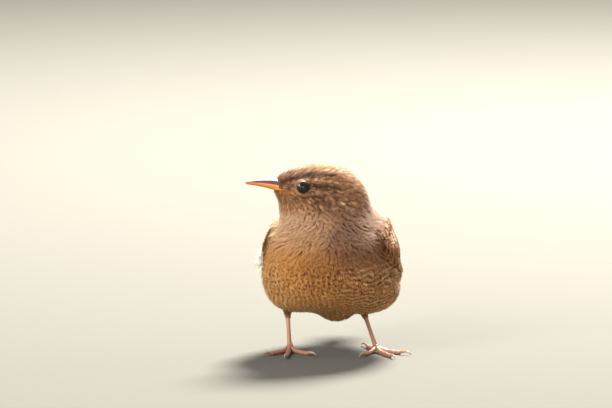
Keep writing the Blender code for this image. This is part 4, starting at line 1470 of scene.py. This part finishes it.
def make_claws(side_name, paint):
    """Claws as tubes that leave the toe tips, arch and come down to a point just above the floor."""
    stations, sides = 36, 20
    share = np.linspace(0, 1, stations)
    tubes = []
    for toe_name, (toe_length, _) in TOES.items():
        length = HIND_CLAW_LENGTH if toe_name == "hind" else CLAW_LENGTH
        start = toe_length - 0.25 * MM
        run = start + (length + 0.5 * MM) * np.sin(share * CLAW_CURL) / math.sin(CLAW_CURL)
        height = (0.75 + 0.55 * np.sin(math.pi * share)) * MM - (0.75 * MM - CLAW_TIP_R) * share**1.5
        level = TOE_JOINT[side_name] * LEVEL
        path = level + toe_way(side_name, toe_name) * run[:, None] + UPWARD * height[:, None]
        radii = (CLAW_R + (0.09 * MM - CLAW_R) * share**1.3) * np.sqrt(np.clip(1.02 - share**12, 0.02, 1))
        tubes.append(tube(path, radii, sides, 0.8))
    points, polygons = join_tubes(tubes)
    part = np.tile(np.append(np.repeat(share, sides), [0, 1]), len(TOES))
    piece = make_piece(f"claws_{side_name}", points, polygons, paint, horn=four(part))
    finish_piece(piece, "claw_horn", *[f"claw_{side_name}_{toe_name}" for toe_name in TOES])


def claw_paint():
    """Light brown horn with a dark point."""
    paint = Paint("claw_horn", 0.3, Specular_IOR_Level=0.5)
    part = paint.attribute("horn")[0]
    horn = ((0.0, (0.34, 0.19, 0.13)), (0.5, (0.42, 0.28, 0.20)), (1.0, (0.16, 0.10, 0.08)))
    paint.colour(paint.ramp(part, *horn))
    paint.bump(paint.noise(3000.0, 2.0, (1, 1, 3)), 0.00002)
    return paint.material


# Wing and tail feathers


def quill_feathers(spine, normals, length, half_width, rows, columns, tip_round):
    """Smooth vanes for flight feathers: a grid along the spine, cambered, with a raised shaft, a rounded tip
    and a faintly ragged edge."""
    count = len(spine)
    along = np.linspace(0, 1, rows)[None, :, None] * np.ones((count, 1, columns))
    across = np.linspace(-1, 1, columns)[None, None, :] * np.ones((count, rows, 1))
    into_tip = np.clip((along - 1 + tip_round) / tip_round, 0, 1)
    outline = np.clip(0.55 + 1.1 * along, 0, 1) * np.sqrt(1 - into_tip**2)
    ragged = 1 + 0.03 * rng.normal(0, 1, (count, rows, 1)) * np.abs(across)
    off = across * outline * ragged * half_width[:, None, None]
    camber = 0.10 * half_width[:, None, None] * (1 - across**2) + 0.04 * MM * (np.abs(across) < 0.05)
    flat = along.reshape(count, -1)
    side_way = unit(np.cross(np.gradient(spine, axis=1), normals))
    up = unit(at(normals, flat))
    out = unit(at(side_way, flat))
    points = at(spine, flat) + out * off.reshape(count, -1, 1) + up * camber.reshape(count, -1, 1)
    index = quads(rows, columns)[:, ::-1]
    faces = (np.arange(count)[:, None, None] * rows * columns + index[None]).reshape(-1, 4)
    layout = np.stack([across / 2 + 0.5, along], -1).reshape(count, -1, 2)
    return points, faces, flat, across.reshape(count, -1), layout


def quill_paint(name, dark, warm, pale):
    """Barred feathers. Bar gives the place along in runs of bars, the place across, what pale marks the outer
    web bears (0 to 0.5: none to pale bars, above: a pale spot at the tip), and the feather's tone; tip
    gives the share along."""
    paint = Paint(name, 0.75, Specular_IOR_Level=0.06)
    bars, across, kind, tone = paint.attribute("bar")
    along = paint.attribute("tip")[0]
    grain = paint.range(paint.noise(700.0), 0.3, 0.7, -0.10, 0.10)
    place = paint.calc("ADD", bars, paint.calc("MULTIPLY", grain, 0.03))
    wave = paint.calc("SINE", paint.calc("MULTIPLY", place, 2 * math.pi * BARS_IN_RUN))
    light = paint.range(wave, -0.35, 0.35)
    plain = paint.range(kind, -0.01, 0.01, 0.45, 0.0)
    ground = paint.mix(paint.calc("MAXIMUM", light, plain), dark, warm)
    paleness = paint.range(kind, 0.0, 0.5, 0.0, 0.95)
    covert = paint.range(kind, 0.55, 0.75)
    outer = paint.calc("MULTIPLY", paint.calc("MULTIPLY", light, paleness), paint.range(across, 0.5, 0.62))
    outer = paint.calc("MULTIPLY", outer, paint.calc("SUBTRACT", 1.0, covert))
    ground = paint.mix(outer, ground, pale)
    offset = paint.calc("ABSOLUTE", paint.calc("SUBTRACT", across, 0.5))
    spot = paint.calc("MULTIPLY", paint.range(along, 0.76, 0.86), paint.range(offset, 0.44, 0.28))
    dusk = paint.calc("MULTIPLY", paint.range(along, 0.45, 0.68), paint.calc("MULTIPLY", covert, 0.9))
    ground = paint.mix(dusk, ground, dark)
    ground = paint.mix(paint.calc("MULTIPLY", spot, covert), ground, (0.84, 0.66, 0.46))
    shaft = paint.range(offset, 0.05, 0.02)
    ground = paint.mix(paint.calc("MULTIPLY", shaft, 0.6), ground, dark)
    slant = paint.calc("SUBTRACT", bars, paint.calc("MULTIPLY", offset, 0.16))
    lines = paint.calc("SINE", paint.calc("MULTIPLY", slant, 2600.0))
    ground = paint.mix(paint.range(lines, -1, 1, 0.0, 0.16), ground, dark)
    shade = paint.range(tone, 0, 1, 0.65, 1.3)
    paint.colour(paint.mix(1.0, ground, paint.grey(shade), "MULTIPLY"))
    paint.bump(lines, 0.00003)
    return paint.material


def wing_row(sheet, roots, tips, half_width, height, stations=12):
    """Feathers laid on the wing: roots and tips are (along, across) pairs, height is above the given sheet,
    in mm, at both ends. Returns spines, normals, lengths, half widths and places on the wing."""
    share = np.linspace(0, 1, stations)[None, :, None]
    place = roots[:, None] * (1 - share) + tips[:, None] * share
    points, normals = read_sheet(sheet, place[..., 0], place[..., 1])
    low, high = (np.asarray(end)[..., None] for end in height)
    level = low + (high - low) * share[..., 0]
    spine = points + normals * (level * MM)[..., None]
    return spine, unit(normals), spine_length(spine), np.full(len(roots), half_width * MM), place


def wing_rows():
    """Rows of the wing from the lowest layer up: roots and tips as (along, across), half width, heights at
    both ends, barbs on each side (0 for a smooth flight feather), tip rounding and kind of mark, or for a
    row of coverts how many of ten have a pale tip."""
    rows = []
    k = np.arange(9) / 8
    tips = np.stack([0.86 + 0.14 * np.sin(math.pi * (0.15 + 0.6 * k)), 0.55 - 1.25 * k], -1)
    roots = np.stack([0.12 + 0 * k, 0.10 - 0.85 * k], -1)
    rows.append((roots, tips, 1.35, (0.07 * (1 - k), 0.22 * (1 - k) + 0.04), 0, 0.10, 0.45))
    k = np.arange(7) / 6
    tips = np.stack([0.60 + 0.26 * k, 0.80 - 0.75 * k], -1)
    roots = np.stack([0.14 + 0 * k, 0.55 - 0.50 * k], -1)
    rows.append((roots[::-1], tips[::-1], 1.9, (0.20 + 0.16 * k, 0.28 + 0.22 * k), 0, 0.12, 0.12))
    k = np.arange(3) / 2
    tips = np.stack([0.66 - 0.16 * k, 0.50 + 0.34 * k], -1)
    roots = np.stack([0.16 + 0 * k, 0.45 + 0.28 * k], -1)
    rows.append((roots, tips, 2.3, (0.40 + 0.07 * k, 0.55 + 0.08 * k), 0, 0.16, 0.06))
    for tip, root, number, wide, low, high, barbs, pale in COVERT_ROWS:
        k = (np.arange(number) + rng.uniform(-0.2, 0.2, number)) / (number - 1)
        across = -0.86 + 1.70 * k
        end = tip + 0.02 * np.sin(math.pi * k.clip(0, 1)) + rng.uniform(-0.012, 0.012, number)
        tips = np.stack([end, across * 0.97], -1)
        roots = np.stack([root + 0 * k, across * 0.9], -1)
        lift = rng.uniform(0, 0.06, number)
        rim = 1 - 0.6 * smooth(0.5, 0.95, np.abs(across))
        pale_here = pale * smooth(-0.45, -0.15, across)
        rows.append((roots, tips, wide, ((low + lift) * rim, (high + lift) * rim), barbs, 0.35, pale_here))
    return rows


def wing_shell(side):
    """The closed form under the feathers: the wing's bed and a face a seventh of its thickness out, joined
    along both long edges and at both ends. Returns points, faces and each point's shares from wrist to tip
    and from edge to edge."""
    inner, outer = wing_sheet(side, 0.0)[0], wing_sheet(side, 0.14)[0]
    loop = np.concatenate([outer, inner[:, ::-1]], axis=1)
    rows, columns = loop.shape[:2]
    half = columns // 2
    faces = [quads(rows, columns, loop=True)[:, ::-1]]
    for row in (0, rows - 1):
        near = row * columns + np.arange(half - 1)
        far = row * columns + columns - 1 - np.arange(half - 1)
        end = np.stack([near, near + 1, far - 1, far], -1)
        faces.append(end if row == 0 else end[:, ::-1])
    faces = np.concatenate(faces)
    if side > 0:
        faces = faces[:, ::-1]
    run = np.repeat(np.linspace(0, 1, rows), columns)
    around = np.tile(np.concatenate([np.linspace(0, 1, half), np.linspace(1, 0, half)]), rows)
    return loop.reshape(-1, 3), faces, run, around


def make_wing(side_name, side, paint):
    """Smooth flight feathers and barbed coverts in rows over a closed shell that keeps the wing's shape."""
    sheet = wing_sheet(side, 0.15)
    points, fours, threes, bars, tips, patches = [], [], [], [], [], []
    start, laid = 0, 0
    for roots, ends, wide, height, barbs, tip_round, kind in wing_rows():
        spine, normals, length, half, place = wing_row(sheet, roots, ends, wide, height)
        count = len(spine)
        if barbs:
            grid, (quad, three), along, across, tone, layout = barbed_feathers(
                spine, normals, length, half, np.full(count, 6 * MM), barbs, 0.05, 0.5 * length / barbs,
                np.full(count, 0.05 * MM)
            )
            threes.append(three + start)
            kind = np.where(rng.random((count, 1)) < kind[:, None] / 10, 0.9, 0.0)
            tone = 0.5 * tone + 0.5 * rng.random((count, 1))
        else:
            grid, quad, along, across, layout = quill_feathers(spine, normals, length, half, 30, 9, tip_round)
            tone = rng.random((count, 1))
        run = place[:, :1, 0] + along * length[:, None] / MM / BAR_RUN
        bars.append(four(run, 0.5 - side * across / 2, kind, tone))
        tips.append(along.ravel())
        patches.append(feather_cells(laid, *WING_CELLS, layout))
        points.append(grid.reshape(-1, 3))
        fours.append(quad + start)
        laid += count
        start += len(points[-1])
    shell, quad, run, around = wing_shell(side)
    points.append(shell)
    fours.append(quad + start)
    bars.append(four(run, 0, 0, 0.3))
    tips.append(0 * run)
    patches.append(np.stack([0.02 + 0.96 * run, (WING_CELLS[1] - 0.9 + 0.8 * around) / WING_CELLS[1]], -1))
    faces = [np.concatenate(fours), np.concatenate(threes)]
    info, tip = np.concatenate(bars), four(np.concatenate(tips))
    piece = make_piece(
        f"wing_feathers_{side_name}", np.concatenate(points), faces, paint, np.concatenate(patches), bar=info,
        tip=tip
    )
    finish_piece(piece, "wing_feathers", f"wing_{side_name}")


def wing_body_paint():
    """Dark brown, mottled, for what the feathers hide."""
    paint = Paint("wing_under", 0.7)
    grain = paint.range(paint.noise(900.0), 0.3, 0.7)
    paint.colour(paint.mix(grain, (0.06, 0.032, 0.018), (0.13, 0.065, 0.035)))
    paint.bump(paint.noise(2500.0, 3.0, (1, 0.2, 1)), 0.0001)
    return paint.material


def make_tail(paint):
    """Tail feathers side by side, the middle pair on top, each with its own tip at the rounded end."""
    rank = np.abs(np.arange(TAIL_FEATHERS) - (TAIL_FEATHERS - 1) / 2)
    way = np.sign(np.arange(TAIL_FEATHERS) - (TAIL_FEATHERS - 1) / 2)
    outermost = rank.max()
    share = np.linspace(0, 1, 14)[None, :]
    spread = (way * rank / outermost)[:, None]
    half = TAIL_ROOT_HALF + (TAIL_TIP_HALF - TAIL_ROOT_HALF) * share**0.8 - 1.3 * MM
    run = share * (TAIL_LENGTH - 0.3 * MM - 2.4 * MM * np.abs(spread) ** 2.2)
    thick = (1.2 - 0.75 * share**0.6) * MM
    layer = 0.10 * MM * (outermost - rank)[:, None] * (0.3 + 0.7 * share)
    x = spread * half
    arch = -TAIL_ARCH * (x / TAIL_TIP_HALF) ** 2 - 1.0 * MM * np.sin(math.pi * share)
    y = TAIL_ROOT[1] + run * math.cos(TAIL_RISE)
    z = TAIL_ROOT[2] + run * math.sin(TAIL_RISE) + arch + thick + layer
    spine = np.stack(np.broadcast_arrays(x, y, z), -1)
    normal = np.stack(np.broadcast_arrays(0.35 * spread, -math.sin(TAIL_RISE), math.cos(TAIL_RISE)), -1)
    normal = np.broadcast_to(unit(normal), spine.shape)
    spine, normal = spine @ TO_BODY.T, normal @ TO_BODY.T
    length = spine_length(spine)
    half_width = np.full(TAIL_FEATHERS, 1.75 * MM)
    grid, quad, along, across, layout = quill_feathers(spine, normal, length, half_width, 44, 11, 0.10)
    bars = along * length[:, None] / MM / BAR_RUN
    tone = rng.random((TAIL_FEATHERS, 1))
    info = four(bars, across * way[:, None] / 2 + 0.5, 0.15, tone)
    uv = feather_cells(0, TAIL_FEATHERS, 1, layout)
    piece = make_piece("tail_feathers", grid, [quad], paint, uv, bar=info, tip=four(along))
    finish_piece(piece, "tail_feathers")


# Studio


def area_light(name, place, size, power, colour):
    """A round soft light aimed at the bird."""
    light = bpy.data.lights.new(name, "AREA")
    light.shape = "DISK"
    light.size = size
    light.energy = power
    light.color = colour
    lamp = bpy.data.objects.new(name, light)
    bpy.context.scene.collection.objects.link(lamp)
    lamp.location = place
    lamp.rotation_euler = (Vector(LIT_POINT) - Vector(place)).to_track_quat("-Z", "Y").to_euler()


def make_stage():
    """A pale level floor, an even warm sky and the lights."""
    mesh = bpy.data.meshes.new("floor")
    corners = [(x * FLOOR_HALF, y * FLOOR_HALF, 0) for x, y in ((-1, -1), (1, -1), (1, 1), (-1, 1))]
    mesh.from_pydata(corners, [], [(0, 1, 2, 3)])
    paint = Paint("floor", 0.9, Specular_IOR_Level=0.1)
    paint.colour(FLOOR_COLOUR)
    mesh.materials.append(paint.material)
    floor = bpy.data.objects.new("floor", mesh)
    bpy.context.scene.collection.objects.link(floor)
    world = bpy.data.worlds.new("studio")
    bpy.context.scene.world = world
    world.use_nodes = True
    sky = world.node_tree.nodes["Background"]
    sky.inputs[0].default_value = SKY_COLOUR
    sky.inputs[1].default_value = SKY_STRENGTH
    for name, settings in LIGHTS.items():
        area_light(name, *settings)


def make_camera():
    """On the photo's line of sight, a little above the floor, with the photo's framing."""
    aim = np.array((AIM_ASIDE, 0, AIM_UP / math.cos(CAMERA_RISE))) + MOVED
    sight = np.array((0, math.cos(CAMERA_RISE), -math.sin(CAMERA_RISE)))
    data = bpy.data.cameras.new("camera")
    data.sensor_width = SENSOR_WIDTH
    data.lens = SENSOR_WIDTH * CAMERA_AWAY / (PHOTO_WIDTH * PIXEL)
    data.clip_start = 0.05
    data.clip_end = 20.0
    camera = bpy.data.objects.new("camera", data)
    bpy.context.scene.collection.objects.link(camera)
    camera.location = aim - sight * CAMERA_AWAY
    camera.rotation_euler = (math.radians(90) - CAMERA_RISE, 0, 0)
    bpy.context.scene.camera = camera


def main():
    """Makes every piece, then the studio."""
    surface = plumage_grid(200, 240, lambda points: 0.0)
    make_skin()
    make_coat(surface)
    lid = lid_paint()
    for side_name, side in SIDES.items():
        make_eye(side_name, side)
        make_lid(side_name, side, lid)
    upper_horn, lower_horn = bill_paints()
    mandible("upper_mandible", "bill_upper", 1, upper_horn, "bill_upper_horn")
    mandible("lower_mandible", "bill_lower", -1, lower_horn, "bill_lower_horn")
    scaled, horn = leg_paint(), claw_paint()
    wing_quill = quill_paint("wing_quills", (0.055, 0.024, 0.010), (0.37, 0.132, 0.032), (0.66, 0.44, 0.24))
    tail_quill = quill_paint("tail_quills", (0.050, 0.026, 0.015), (0.21, 0.092, 0.038), (0.40, 0.24, 0.12))
    for side_name, side in SIDES.items():
        make_leg(side_name, scaled)
        make_claws(side_name, horn)
        make_wing(side_name, side, wing_quill)
    make_tail(tail_quill)
    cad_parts["tail"].data.materials.clear()
    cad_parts["tail"].data.materials.append(wing_body_paint())
    make_stage()
    make_camera()


main()
bpy.context.scene.view_settings.view_transform = "Standard"
